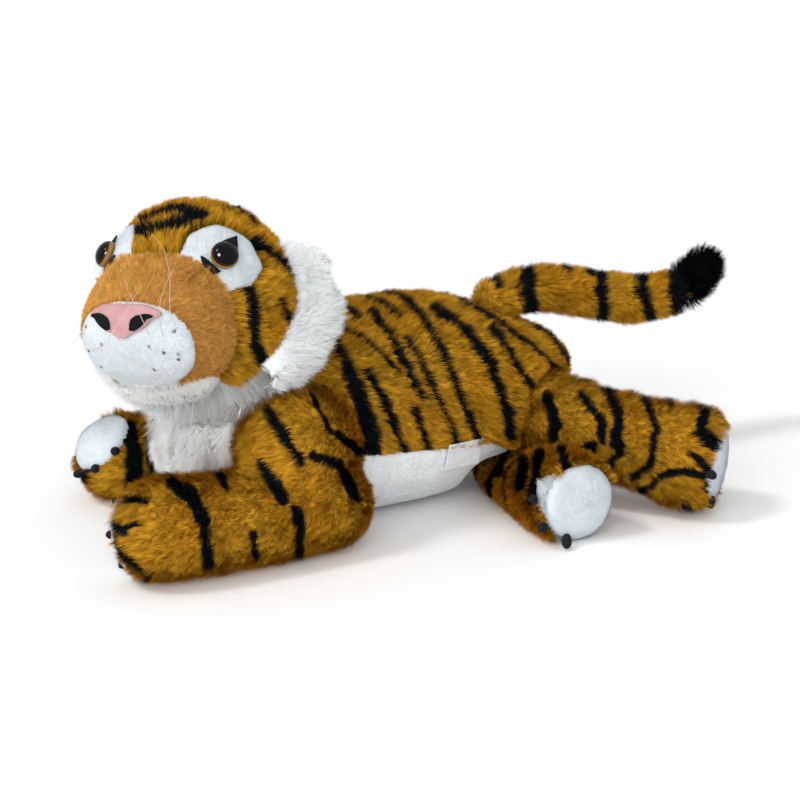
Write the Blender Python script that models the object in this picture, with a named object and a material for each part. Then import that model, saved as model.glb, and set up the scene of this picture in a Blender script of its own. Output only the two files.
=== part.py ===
"""A lying plush tiger, built as it is sewn: fur skins, stuffing, soles, claws and face pieces.

The tiger lies along X with its nose at -X, and its left side faces -Y. The origin is the
middle of the flat patch of belly that it rests on, and +Z is up. Lengths are in metres.
"""
import math

import bmesh
import bpy
from mathutils import Matrix, Vector

MM = 0.001
SEAM = 0.3 * MM             # gap between two pieces that touch
JOINT_GAP = 0.3 * MM        # running gap of a round end in its seat
TUCK_GAP = 2.4 * MM         # room left in the torso round the leg tucked under it
FILL_GAP = 0.5 * MM         # gap between a skin and its stuffing
FUR = 5.0 * MM              # backing and pile of the fur cloth together
FLAT_DEPTH = 0.5 * MM       # how deep the resting places are pressed flat
OVERRUN = 20.0 * MM         # how far a cutter runs past what it cuts

# Torso
TORSO_LENGTH = 272 * MM
TORSO_WIDTH = 142 * MM
TORSO_HEIGHT = 129 * MM
TORSO_FRONT = -124 * MM     # X of the chest
BELLY_SEAM_HEIGHT = 50 * MM
LABEL_WIDTH = 26 * MM
LABEL_HEIGHT = 18 * MM
LABEL_THICK = 1.2 * MM
LABEL_PLACE = 37 * MM       # X of the label's middle
BIB_THICK = 7 * MM
BIB_WIDTH = 70 * MM

# Head
HEAD_X = -117 * MM          # place of the skull's middle
HEAD_Y = -11 * MM
HEAD_Z = 143 * MM
HEAD_YAW = 34               # degrees to its left
HEAD_PITCH = 1.5            # degrees up
HEAD_ROLL = 5               # degrees, right side down
SKULL_RADIUS = 62 * MM
FACE_DEPTH = 52 * MM        # from the skull's middle to the face
NECK_THICK = 5 * MM
NECK_REACH = 50             # degrees from the neck's middle to its rim
NECK_SPARE = 3              # degrees of spare room past the rim
MUZZLE_TIP = 76 * MM        # ahead of the skull's middle
MUZZLE_WIDTH = 92 * MM
MUZZLE_HEIGHT = 80 * MM
MUZZLE_DROP = 7 * MM
MUZZLE_FRONT_DEPTH = 18 * MM    # how far back from the tip the white reaches below
MUZZLE_LEAN = 18 * MM       # how much further forward its seam lies above
EYE_DIAMETER = 16.5 * MM
EYE_DOME = 6 * MM
SHANK_DIAMETER = 4 * MM
SHANK_LENGTH = 15 * MM
WASHER_DIAMETER = 12 * MM
WASHER_THICK = 2.2 * MM
PATCH_WIDTH = 50 * MM
PATCH_HEIGHT = 42 * MM
FELT = 1.2 * MM
LID_WIDTH = 11 * MM
LID_HEIGHT = 9 * MM
NOSE_WIDTH = 47 * MM
NOSE_HEIGHT = 19.5 * MM
NOSE_THICK = 3 * MM
NOSE_RISE = 14.5 * MM
CHIN_WIDTH = 70 * MM
CHIN_HEIGHT = 26 * MM
CHIN_DEPTH = 44 * MM
RUFF_WIDTH = 40 * MM        # where it is widest, the part inside the skull included
RUFF_THICK = 35 * MM
EAR_WIDTH = 44 * MM
EAR_HEIGHT = 26 * MM        # how far it stands out from the skull
EAR_THICK = 12 * MM
EAR_SET_BACK = 18 * MM
EAR_ANGLE = 74              # degrees from straight up
WHISKER_DIAMETER = 0.6 * MM

# The head's middle, and the places of the eyes as shares of the skull's radius
HEAD_CENTRE = Vector((HEAD_X, HEAD_Y, HEAD_Z))
EYE_SPREAD_SHARE = 0.645
EYE_RISE_SHARE = 0.55

# Limbs, in shares of a reach or a radius
FORELEG_SHARES = (
    # ahead of the shoulder in shares of the reach, out from it, and swelling
    (-0.16, 0.34, 0.94), (0.05, 0.37, 1.00), (0.35, 0.40, 1.00), (0.68, 0.38, 1.03),
    (0.96, 0.34, 1.08), (1.10, 0.31, 1.03),
)
HIND_SHARES = (
    # offset from the hip, half width and half height
    ((0.00, 0.00, 0.00), 0.97, 0.97), ((0.14, -0.41, -0.10), 1.03, 1.03),
    ((0.41, -1.10, -0.24), 1.02, 1.02), ((1.07, -2.03, -0.34), 1.02, 1.03),
    ((1.66, -2.73, -0.53), 1.03, 1.18), ((2.04, -3.10, -0.58), 1.02, 1.16),
)
TUCKED_SHARES = (
    ((0.00, 0.00, 0.00), 1.02, 1.02), ((-0.32, -1.50, -0.90), 0.95, 0.78),
    ((-0.85, -3.00, -1.02), 1.00, 0.68), ((-1.20, -4.65, -0.74), 1.07, 0.97),
    ((-1.28, -6.00, -0.44), 1.38, 1.38), ((-1.32, -7.00, -0.42), 1.48, 1.48),
    ((-1.32, -7.45, -0.42), 1.46, 1.46),
)
TAIL_SHARES = (
    # along the length, and rise and swelling in shares of the radius
    (0.00, 0.00, 0.98), (0.10, 0.24, 0.94), (0.24, 0.34, 0.98), (0.46, -0.12, 1.06),
    (0.71, -0.70, 1.03), (0.89, -0.78, 0.99), (1.0, -0.66, 0.99),
)
TUFT_SHARES = (
    # along and rise in shares of the tuft's length, and swelling in shares of the tail's radius
    (0.10, 0.06, 0.98), (0.42, 0.22, 0.98), (0.68, 0.50, 0.82),
)
TUFT_CAP_SHARES = (1 / 3, 0.6)
ELBOW_CAP_SHARE = 0.9
PAW_CAP_SHARE = 0.7
FACINGS = {
    # which way each sole and its toes face, and the sole's middle in degrees from the leg's end
    "front_left": ((-0.30, 0.93, -0.20), (-0.90, -0.35, 0.10), 78),
    "front_right": ((-0.70, 0.05, 0.71), (-0.60, -0.70, -0.26), 57),
    "hind_left": ((0.80, -0.60, 0.00), (-0.45, -0.60, -0.75), 0),
    "hind_right": ((-0.30, -0.93, 0.20), (-1.00, 0.00, -0.60), 0),
}
SHOULDER_RADIUS = 39 * MM
FORELEG_RADIUS = 29 * MM
FORELEG_REACH = 94 * MM     # from the shoulder to the middle of the paw
FAR_FORELEG_REACH = 60 * MM
FAR_FORELEG_RADIUS = 26 * MM
HIP_RADIUS = 28 * MM
HINDLEG_RADIUS = 29 * MM
TUCKED_HIP_RADIUS = 22 * MM
TUCKED_LEG_RADIUS = 20 * MM
FOOT_RADIUS = 29 * MM
SOLE_RADIUS = 25 * MM
SOLE_DEPTH = 15 * MM        # how far back from the tip of a foot its sole reaches
CLAW_LENGTH = 12 * MM
CLAW_WIDTH = 7 * MM
CLAW_SPREAD = 40            # degrees between two claws round the rim
CLAW_LEAN = 58              # degrees from the sole's facing out to the claws

# Tail
TAIL_RADIUS = 16 * MM
TAIL_LENGTH = 148 * MM
TUFT_LENGTH = 34 * MM

# Counts of faces round and along the forms
TORSO_SIDES = 20
TORSO_INNER_SIDES = 14
SKULL_SIDES = 20
SKULL_INNER_SIDES = 14
SEAT_SIDES = 16
SEAT_INNER_SIDES = 10
LIMB_SIDES = 12
LIMB_INNER_SIDES = 8
SMALL_SIDES = 8
RUFF_SIDES = 10
WHISKER_SIDES = 5
CAP_RINGS = 2

# How square the forms are in section: 2 is round
ROUND = 2.0
LIMB_FULLNESS = 2.1
TORSO_FULLNESS = 2.2
MUZZLE_FULLNESS = 2.3

# Swings of the joints in degrees, for the room that they need
HEAD_TURNS = (-15, 0, 15)
HEAD_NODS = (-6, 0, 10)
FORELEG_SWINGS = (-12, -4, 0, 15)
HINDLEG_SWINGS = (0, 10, 20)
TUCKED_SWINGS = (-8, -4, 0)
TAIL_SWINGS = (-25, 0, 25)
FORELEG_AXIS = (0.92, 0.39)             # its Y and Z, on the left side
HINDLEG_AXIS = Vector((-0.83, -0.55, 0))

TIGER = (0.43, 0.20, 0.035)
WHITE = (0.80, 0.82, 0.88)
IVORY = (0.80, 0.77, 0.68)
BLACK = (0.012, 0.014, 0.018)
TAN = (0.58, 0.28, 0.10)
PINK = (0.75, 0.30, 0.29)
AMBER = (0.22, 0.075, 0.015)
FILL = (0.85, 0.85, 0.83)
CLEAR = (0.60, 0.62, 0.66)

UP = Vector((0, 0, 1))
FORWARD = Vector((1, 0, 0))


# Materials and objects

def clear_scene():
    for thing in list(bpy.data.objects):
        bpy.data.objects.remove(thing)


def material(name, colour, roughness):
    """A plain material, made once and shared."""
    found = bpy.data.materials.get(name)
    if found:
        return found
    made = bpy.data.materials.new(name)
    made.use_nodes = True
    shader = made.node_tree.nodes["Principled BSDF"]
    shader.inputs["Base Color"].default_value = (*colour, 1)
    shader.inputs["Roughness"].default_value = roughness
    shader.inputs["Metallic"].default_value = 0
    made.diffuse_color = (*colour, 1)
    return made


def tiger_fur():
    return material("tiger_fur", TIGER, 0.95)


def white_cloth():
    return material("white_cloth", WHITE, 0.9)


def filling():
    return material("filling", FILL, 0.95)


def black_felt():
    return material("black_felt", BLACK, 0.9)


def new_object(name, shape, parent, pivot):
    """Put a bmesh in the scene with its origin on pivot."""
    pivot = pivot or Vector()
    bmesh.ops.translate(shape, verts=shape.verts, vec=-pivot)
    bmesh.ops.recalc_face_normals(shape, faces=shape.faces)
    mesh = bpy.data.meshes.new(name)
    shape.to_mesh(mesh)
    shape.free()
    mesh.shade_smooth()
    thing = bpy.data.objects.new(name, mesh)
    bpy.context.scene.collection.objects.link(thing)
    thing.parent = parent
    thing.location = pivot
    return thing


def piece(name, shape, look, parent=None, pivot=None):
    """A piece of the toy, which is one node."""
    thing = new_object(name, shape, parent, pivot)
    thing.data.materials.append(look)
    return thing


def cutter(name, shape, parent=None):
    """A hidden helper that only shapes its neighbours."""
    thing = new_object("cut_" + name, shape, parent, None)
    thing.hide_render = True
    thing.display_type = "WIRE"
    return thing


def combine(thing, other, operation):
    step = thing.modifiers.new(operation.lower(), "BOOLEAN")
    step.operation = operation
    step.solver = "EXACT"
    step.object = other


def cut(thing, *others):
    for other in others:
        combine(thing, other, "DIFFERENCE")


def keep(thing, *others):
    for other in others:
        combine(thing, other, "INTERSECT")


def join(thing, *others):
    for other in others:
        combine(thing, other, "UNION")


# Shapes

def frame_along(direction):
    """Two directions square to the one given: across, and up as far as it can be."""
    direction = direction.normalized()
    across = direction.cross(UP)
    if across.length < SEAM:
        across = direction.cross(FORWARD)
    across.normalize()
    return across, across.cross(direction).normalized()


def oval(centre, across, rise, half_wide, half_tall, sides, fullness):
    """Points round an oval, squarer as its fullness grows past 2."""
    points = []
    for index in range(sides):
        angle = 2 * math.pi * (index + 0.5) / sides
        wide = math.copysign(abs(math.cos(angle)) ** (2 / fullness), math.cos(angle))
        tall = math.copysign(abs(math.sin(angle)) ** (2 / fullness), math.sin(angle))
        points.append(centre + across * wide * half_wide + rise * tall * half_tall)
    return points


def bridge(shape, loops, start, end):
    """Join rings of points with faces, and close each end on one point."""
    rings = [[shape.verts.new(point) for point in loop] for loop in loops]
    for first, second in zip(rings, rings[1:]):
        for index in range(len(first)):
            after = (index + 1) % len(first)
            shape.faces.new((first[index], first[after], second[after]))
            shape.faces.new((first[index], second[after], second[index]))
    for ring, point in ((rings[0], start), (rings[-1], end)):
        tip = shape.verts.new(point)
        for index in range(len(ring)):
            shape.faces.new((ring[index], tip, ring[(index + 1) % len(ring)]))


def stuffed(stations, start_cap, end_cap, sides, grow=0.0, fullness=ROUND, lowest=None):
    """A swelling and tapering form through stations of (centre, half width, half height).

    Each end is a dome of the given length. The whole surface moves out by grow.
    """
    middles = [Vector(station[0]) for station in stations]
    last = len(middles) - 1
    loops = []
    for index, (centre, half_wide, half_tall) in enumerate(stations):
        ahead = middles[min(index + 1, last)] - middles[max(index - 1, 0)]
        across, rise = frame_along(ahead)
        loops.append((Vector(centre), across, rise, half_wide + grow, half_tall + grow))
    ends = []
    for index, sign, cap in ((0, -1, start_cap), (last, 1, end_cap)):
        cap = max(cap + grow, SEAM)
        centre, across, rise, wide, tall = loops[index]
        beside = middles[1] - middles[0] if index == 0 else middles[last] - middles[last - 1]
        outward = beside.normalized() * sign
        dome = []
        for ring in range(1, CAP_RINGS + 1):
            angle = math.pi / 2 * ring / (CAP_RINGS + 1)
            middle = centre + outward * cap * math.sin(angle)
            dome.append((middle, across, rise, wide * math.cos(angle), tall * math.cos(angle)))
        ends.append((dome, centre + outward * cap))
    loops = ends[0][0][::-1] + loops + ends[1][0]
    rings = [oval(*loop, sides, fullness) for loop in loops]
    if lowest is not None:
        for ring in rings:
            for point in ring:
                point.z = max(point.z, lowest)
    shape = bmesh.new()
    bridge(shape, rings, ends[0][1], ends[1][1])
    return shape


def ball(centre, radius, sides, grow=0.0):
    shape = bmesh.new()
    bmesh.ops.create_uvsphere(shape, u_segments=sides, v_segments=sides // 2, radius=radius + grow)
    bmesh.ops.translate(shape, verts=shape.verts, vec=centre)
    return shape


def around(radius, sides):
    """The radius of a faceted ball whose flats stay outside a round one."""
    return radius / math.cos(math.pi / sides) ** 2


def egg(centre, half_sizes, sides, turn=None, grow=0.0):
    """A ball stretched to three half sizes and turned by a matrix."""
    shape = ball(Vector(), 1, sides)
    for vertex in shape.verts:
        for axis in range(3):
            vertex.co[axis] *= half_sizes[axis] + grow
    if turn is not None:
        bmesh.ops.transform(shape, matrix=turn.to_4x4(), verts=shape.verts)
    bmesh.ops.translate(shape, verts=shape.verts, vec=centre)
    return shape


def block(low, high):
    shape = bmesh.new()
    bmesh.ops.create_cube(shape, size=1)
    for vertex in shape.verts:
        for axis in range(3):
            vertex.co[axis] = high[axis] if vertex.co[axis] > 0 else low[axis]
    return shape


def rod(start, end, radius, sides, end_radius=None):
    """A straight round rod, or a taper."""
    along = end - start
    shape = bmesh.new()
    tip = radius if end_radius is None else end_radius
    bmesh.ops.create_cone(shape, cap_ends=True, segments=sides, radius1=radius, radius2=tip,
                          depth=along.length)
    turn = UP.rotation_difference(along.normalized()).to_matrix().to_4x4()
    bmesh.ops.transform(shape, matrix=Matrix.Translation((start + end) / 2) @ turn, verts=shape.verts)
    return shape


def prism(outline, start, along, across, rise):
    """A straight prism from start, whose outline is in (across, rise) lengths."""
    shape = bmesh.new()
    near = [shape.verts.new(start + across * x + rise * y) for x, y in outline]
    far = [shape.verts.new(vertex.co + along) for vertex in near]
    shape.faces.new(near)
    shape.faces.new(far)
    for index in range(len(near)):
        after = (index + 1) % len(near)
        shape.faces.new((near[index], near[after], far[after], far[index]))
    return shape


def turned(profile, base, axis, sides):
    """A closed profile of (radius, height) turned round an axis from base."""
    across, rise = frame_along(axis)
    axis = axis.normalized()
    shape = bmesh.new()
    loops = []
    for radius, height in profile[1:-1]:
        loop = []
        for index in range(sides):
            angle = 2 * math.pi * index / sides
            out = across * math.cos(angle) + rise * math.sin(angle)
            loop.append(base + axis * height + out * radius)
        loops.append(loop)
    bridge(shape, loops, base + axis * profile[0][1], base + axis * profile[-1][1])
    return shape


NECK_INNER = around(SKULL_RADIUS + JOINT_GAP, SKULL_SIDES)
NECK_SEAT = around(NECK_INNER + NECK_THICK + JOINT_GAP, SKULL_SIDES)


# Torso

TORSO_SHARES = (
    # along the length, half width, bottom and top in shares of the torso's sizes
    (0.045, 0.62, 0.155, 0.80),
    (0.107, 0.80, 0.045, 0.89),
    (0.200, 0.92, -0.025, 0.94),
    (0.310, 0.97, -0.030, 0.96),
    (0.420, 0.99, -0.030, 0.98),
    (0.550, 1.00, -0.025, 1.00),
    (0.660, 0.97, 0.000, 0.99),
    (0.750, 0.91, 0.070, 0.955),
    (0.825, 0.83, 0.190, 0.90),
    (0.900, 0.69, 0.320, 0.82),
    (0.956, 0.49, 0.430, 0.74),
)
TORSO_CAP_SHARE = 0.044
# Places of the seats, in shares of the torso's length, half width and height
SHOULDER_SHARES = (0.176, -0.873, 0.465)
HIP_SHARES = (0.868, -0.648, 0.403)
TUCKED_HIP_SHARES = (0.816, 0.113, 0.264)
TAIL_SEAT_SHARES = (0.824, 0, 0.905)
NECK_AIM_SHARES = (0.30, 0, 0.50)
# The chest that the bib covers, between two corners in the same shares
BIB_LOW_SHARES = (-0.2, 0, 0.28)
BIB_HIGH_SHARES = (0.14, 0, 0.62)
BELLY_TOP_SHARES = (
    # along the length, and the seam's height in shares of its height at the side
    (-0.10, 2.40),
    (0.10, 2.00),
    (0.19, 1.10),
    (0.28, 1.04),
    (0.50, 0.94),
    (0.66, 0.90),
    (0.78, 0.55),
    (0.86, 0.20),
)


def torso_form(grow=0.0, sides=TORSO_SIDES):
    stations = []
    for along, half_wide, bottom, top in TORSO_SHARES:
        centre = Vector((TORSO_FRONT + along * TORSO_LENGTH, 0, (bottom + top) / 2 * TORSO_HEIGHT))
        half_tall = (top - bottom) / 2 * TORSO_HEIGHT
        stations.append((centre, half_wide * TORSO_WIDTH / 2, half_tall))
    cap = TORSO_CAP_SHARE * TORSO_LENGTH
    lowest = -FLAT_DEPTH - grow
    return stuffed(stations, cap, cap, sides, grow, TORSO_FULLNESS, lowest)


def torso_place(along_share, side_share, height_share):
    """A place by shares of the torso's length, half width and height."""
    return Vector((TORSO_FRONT + along_share * TORSO_LENGTH, side_share * TORSO_WIDTH / 2,
                   height_share * TORSO_HEIGHT))


def belly_side(grow):
    """A tall block below the seam between back and belly, which follows the seam's line."""
    outline = [(TORSO_FRONT + along * TORSO_LENGTH, height * BELLY_SEAM_HEIGHT + grow)
               for along, height in BELLY_TOP_SHARES]
    end = outline[-1][0] + grow
    outline[-1] = (end, outline[-1][1])
    outline += [(end, -OVERRUN), (outline[0][0], -OVERRUN)]
    start = Vector((0, -TORSO_WIDTH, 0))
    return prism(outline, start, Vector((0, 2 * TORSO_WIDTH, 0)), FORWARD, UP)


def build_torso(seats, leg_rooms, bib_rooms, floor):
    inner = cutter("torso_inner", torso_form(-FUR, TORSO_INNER_SIDES))
    below = cutter("below_seam", belly_side(0))
    below_wide = cutter("below_seam_wide", belly_side(SEAM))

    back = piece("back_fur", torso_form(), tiger_fur())
    cut(back, inner, below_wide)
    belly = piece("belly_panel", torso_form(), white_cloth())
    cut(belly, inner)
    keep(belly, below)
    core = piece("torso_stuffing", torso_form(-FUR - FILL_GAP, TORSO_INNER_SIDES), filling())
    for thing in (back, belly, core):
        cut(thing, *seats, *leg_rooms)
    cut(belly, floor)

    label_at = Vector((LABEL_PLACE, -TORSO_WIDTH, BELLY_SEAM_HEIGHT - LABEL_HEIGHT / 2 - SEAM))
    low = label_at - Vector((LABEL_WIDTH / 2, 0, LABEL_HEIGHT / 2))
    high = label_at + Vector((LABEL_WIDTH / 2, TORSO_WIDTH, LABEL_HEIGHT / 2))
    label = piece("side_label", block(low, high), white_cloth())
    keep(label, cutter("label_outer", torso_form(SEAM + LABEL_THICK)))
    cut(label, cutter("label_inner", torso_form(SEAM)))

    bib_low = torso_place(*BIB_LOW_SHARES) - Vector((0, BIB_WIDTH / 2, 0))
    bib_high = torso_place(*BIB_HIGH_SHARES) + Vector((0, BIB_WIDTH / 2, 0))
    bib = piece("chest_bib", block(bib_low, bib_high), material("ivory_pile", IVORY, 0.95))
    keep(bib, cutter("bib_outer", torso_form(SEAM + BIB_THICK)))
    cut(bib, cutter("bib_inner", torso_form(SEAM)))
    cut(bib, *seats, *bib_rooms)


# Head

def head_turn():
    """Columns are the head's forward, left and up directions in the world."""
    yaw, pitch, roll = (math.radians(angle) for angle in (HEAD_YAW, HEAD_PITCH, HEAD_ROLL))
    ahead = Vector((-math.cos(yaw), -math.sin(yaw), 0))
    left = Vector((math.sin(yaw), -math.cos(yaw), 0))
    tipped = ahead * math.cos(pitch) + UP * math.sin(pitch)
    upright = UP * math.cos(pitch) - ahead * math.sin(pitch)
    side = left * math.cos(roll) + upright * math.sin(roll)
    top = upright * math.cos(roll) - left * math.sin(roll)
    return Matrix((tipped, side, top)).transposed()


def skull_form(grow=0.0, sides=SKULL_SIDES):
    """A ball whose front half is pressed flatter into a face."""
    shape = ball(Vector(), SKULL_RADIUS, sides, grow)
    for vertex in shape.verts:
        if vertex.co.x > 0:
            vertex.co.x *= (FACE_DEPTH + grow) / (SKULL_RADIUS + grow)
    return shape


def face_point(side, rise):
    """Where the face's surface lies at a place beside and above its middle."""
    flat = 1 - (side / SKULL_RADIUS) ** 2 - (rise / SKULL_RADIUS) ** 2
    return Vector((FACE_DEPTH * math.sqrt(max(flat, 0)), side, rise))


def face_normal(point):
    return Vector((point.x / FACE_DEPTH ** 2, point.y / SKULL_RADIUS ** 2,
                   point.z / SKULL_RADIUS ** 2)).normalized()


def eye_place(mirror):
    return face_point(mirror * EYE_SPREAD_SHARE * SKULL_RADIUS, EYE_RISE_SHARE * SKULL_RADIUS)


MUZZLE_SHARES = (
    # forward in shares of the tip, half width, half height and drop in shares
    (0.30, 1.00, 1.06, 0.2),
    (0.50, 1.00, 1.02, 0.6),
    (0.68, 0.97, 0.86, 1.2),
    (0.82, 0.86, 0.68, 1.8),
)


def muzzle_form(grow=0.0, sides=SKULL_SIDES):
    stations = []
    for ahead, half_wide, half_tall, drop in MUZZLE_SHARES:
        centre = Vector((ahead * MUZZLE_TIP, 0, -drop * MUZZLE_DROP))
        stations.append((centre, half_wide * MUZZLE_WIDTH / 2, half_tall * MUZZLE_HEIGHT / 2))
    cap = MUZZLE_TIP * (1 - MUZZLE_SHARES[-1][0])
    return stuffed(stations, SEAM, cap, sides, grow, MUZZLE_FULLNESS)


def front_half(gap):
    """The space ahead of the seam between the tan and the white of the muzzle."""
    low = MUZZLE_TIP - MUZZLE_FRONT_DEPTH + gap
    high = low + MUZZLE_LEAN
    far = MUZZLE_TIP + OVERRUN * 2
    tall = MUZZLE_HEIGHT
    outline = [(low, -tall / 2), (high, tall / 2), (far, tall / 2), (far, -tall), (low, -tall)]
    return prism(outline, Vector((0, -MUZZLE_WIDTH, 0)), Vector((0, 2 * MUZZLE_WIDTH, 0)),
                 FORWARD, UP)


LID_SHARES = ((-0.30, 0.45), (0.42, 0.30), (0.22, 1.0))
CORNER_SHARES = ((-0.80, -0.25), (-0.52, -0.32), (0.06, -0.58), (-0.14, -0.80), (-0.60, -0.62))
NOSE_SHARES = (
    # half of the nose: out from the middle in half widths, and down in heights, from its top
    (0.30, 0.02), (0.60, 0.07), (0.86, 0.16), (1.0, 0.28), (0.98, 0.36), (0.80, 0.43),
    (0.72, 0.56), (0.58, 0.70), (0.42, 0.80), (0.21, 0.88), (0.11, 1.0),
)
NOSTRIL_SHARES = (
    (0.27, 0.72), (0.28, 0.52), (0.33, 0.38), (0.45, 0.29), (0.66, 0.25), (0.86, 0.29),
    (0.89, 0.35), (0.73, 0.41), (0.66, 0.54), (0.54, 0.66), (0.40, 0.75),
)
WHISKER_SHARES = {
    # places along each hair, ahead, to the left and up in shares of the muzzle's tip
    "left_1": ((0.87, 0.38, -0.06), (1.03, 0.42, 0.15), (1.13, 0.52, 0.41), (1.23, 0.56, 0.64),
               (1.33, 0.53, 0.76)),
    "left_2": ((0.88, 0.29, -0.20), (1.01, 0.32, 0.00), (1.11, 0.39, 0.21), (1.18, 0.50, 0.37),
               (1.25, 0.65, 0.53)),
    "right_1": ((0.88, -0.38, 0.02), (1.00, -0.43, -0.07), (1.08, -0.49, -0.17),
                (1.14, -0.53, -0.24), (1.22, -0.50, -0.20)),
    "right_2": ((0.86, -0.40, -0.19), (1.02, -0.30, -0.17), (1.12, -0.11, -0.09),
                (1.20, 0.08, 0.08), (1.27, 0.24, 0.23), (1.33, 0.37, 0.36)),
}
WHISKER_TIP_SHARE = 0.4
# The chin's middle: behind the muzzle's tip in depths, and above its lowest in heights
CHIN_SET_SHARES = (0.8, 0.1)
RUFF_SHARES = (
    # degrees from straight up; how far ahead and out its middle lies, in shares of the skull's
    # radius; its half width and half thickness, in shares of the ruff's sizes
    (80, -0.42, 1.06, 0.32, 0.26), (90, -0.34, 1.12, 0.46, 0.36), (100, -0.24, 1.13, 0.50, 0.44),
    (110, -0.12, 1.11, 0.48, 0.48), (120, -0.03, 1.08, 0.44, 0.50), (130, 0.03, 1.04, 0.40, 0.48),
    (140, 0.04, 1.02, 0.38, 0.42), (152, 0.00, 1.00, 0.30, 0.28),
)
PATCH_SHARES = (
    # an eye patch's outline round the eye: across from the inner side, and up
    (-0.50, -0.18), (-0.46, 0.22), (-0.20, 0.52), (0.22, 0.46),
    (0.49, 0.12), (0.40, -0.24), (0.14, -0.46), (-0.22, -0.40),
)


def patch_prism(mirror, gap):
    eye = eye_place(mirror)
    along = face_normal(eye)
    across = Vector((0, mirror, 0))
    across = (across - along * across.dot(along)).normalized()
    rise = along.cross(across) * mirror
    outline = []
    for share_x, share_y in PATCH_SHARES:
        place = Vector((share_x * PATCH_WIDTH, share_y * PATCH_HEIGHT))
        place += place.normalized() * gap
        outline.append((place.x, place.y))
    return prism(outline, eye - along * FUR * 3, along * FUR * 6, across, rise)


def build_eye(side, mirror, frame, skull_inner, muzzle_room):
    """A domed safety eye, its washer, the patch round it, its lid and its corner."""
    eye = eye_place(mirror)
    out = face_normal(eye)
    radius = EYE_DIAMETER / 2
    shank = SHANK_DIAMETER / 2
    seat = SEAM * 2
    profile = [(0, -SHANK_LENGTH), (shank, -SHANK_LENGTH), (shank, seat), (radius, seat)]
    for ring in range(1, CAP_RINGS + 2):
        angle = math.pi / 2 * ring / (CAP_RINGS + 2)
        profile.append((radius * math.cos(angle), seat + EYE_DOME * math.sin(angle)))
    profile.append((0, seat + EYE_DOME))
    piece("eye_" + side, turned(profile, eye, out, LIMB_SIDES),
          material("amber_eye", AMBER, 0.08), frame)

    hole = cutter("shank_hole_" + side,
                  rod(eye - out * (SHANK_LENGTH + SEAM * 2), eye + out * OVERRUN, shank + SEAM,
                      SMALL_SIDES), frame)
    behind = eye - out * (FUR + EYE_DOME / 2)
    washer = piece("eye_washer_" + side,
                   rod(behind - out * WASHER_THICK, behind, WASHER_DIAMETER / 2, LIMB_SIDES),
                   material("clear_plastic", CLEAR, 0.4), frame)
    cut(washer, hole)
    pocket = cutter("washer_pocket_" + side,
                    rod(behind - out * (WASHER_THICK + SEAM), behind + out * SEAM,
                        WASHER_DIAMETER / 2 + SEAM, LIMB_SIDES), frame)

    patch = piece("eye_patch_" + side, skull_form(), white_cloth(), frame)
    cut(patch, skull_inner)
    keep(patch, cutter("patch_" + side, patch_prism(mirror, 0), frame))
    cut(patch, hole, muzzle_room)
    opening = cutter("patch_opening_" + side, patch_prism(mirror, SEAM), frame)

    across = Vector((0, mirror, 0))
    across = (across - out * across.dot(out)).normalized()
    rise = out.cross(across) * mirror
    felt_outer = cutter("felt_outer_" + side, skull_form(SEAM + FELT), frame)
    felt_inner = cutter("felt_inner_" + side, skull_form(SEAM), frame)
    clear = cutter("eye_room_" + side,
                   rod(eye - out * FUR, eye + out * OVERRUN, radius + SEAM, LIMB_SIDES), frame)
    for name, shares in (("eyelid_", LID_SHARES), ("eye_corner_", CORNER_SHARES)):
        outline = [(share_x * EYE_DIAMETER, share_y * EYE_DIAMETER) for share_x, share_y in shares]
        felt = piece(name + side, prism(outline, eye - out * FUR * 2, out * FUR * 4, across, rise),
                     black_felt(), frame)
        keep(felt, felt_outer)
        cut(felt, felt_inner, clear, muzzle_room)
    return opening, hole, pocket


def chin_form(grow=0.0):
    """The roll of cloth under the muzzle."""
    back, rise = CHIN_SET_SHARES
    middle = Vector((MUZZLE_TIP - back * CHIN_DEPTH, 0, rise * CHIN_HEIGHT - MUZZLE_HEIGHT / 2))
    halves = (CHIN_DEPTH / 2, CHIN_WIDTH / 2, CHIN_HEIGHT / 2)
    return egg(middle, halves, LIMB_SIDES, grow=grow)


def ruff_form(mirror, grow=0.0):
    """The crescent of long white fur behind a cheek, from the ear to under the chin."""
    rings = []
    centres = []
    for degrees, ahead, out, wide, thick in RUFF_SHARES:
        angle = math.radians(degrees)
        outward = Vector((0, mirror * math.sin(angle), math.cos(angle)))
        centre = (outward * out + FORWARD * ahead) * SKULL_RADIUS
        rings.append(oval(centre, outward, FORWARD, wide * RUFF_WIDTH + grow,
                          thick * RUFF_THICK + grow, RUFF_SIDES, ROUND))
        centres.append(centre)
    shape = bmesh.new()
    bridge(shape, rings, centres[0] + (centres[0] - centres[1]) / 2,
           centres[-1] + (centres[-1] - centres[-2]) / 2)
    return shape


def ear_form(mirror, grow=0.0):
    """A round ear that stands on the side of the skull, thin from front to back."""
    angle = math.radians(EAR_ANGLE)
    outward = Vector((0, mirror * math.sin(angle), math.cos(angle)))
    along = outward.cross(FORWARD)
    centre = outward * SKULL_RADIUS - FORWARD * EAR_SET_BACK
    turn = Matrix((FORWARD, along, outward)).transposed()
    return egg(centre, (EAR_THICK / 2, EAR_WIDTH / 2, EAR_HEIGHT), LIMB_SIDES, turn, grow)


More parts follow.
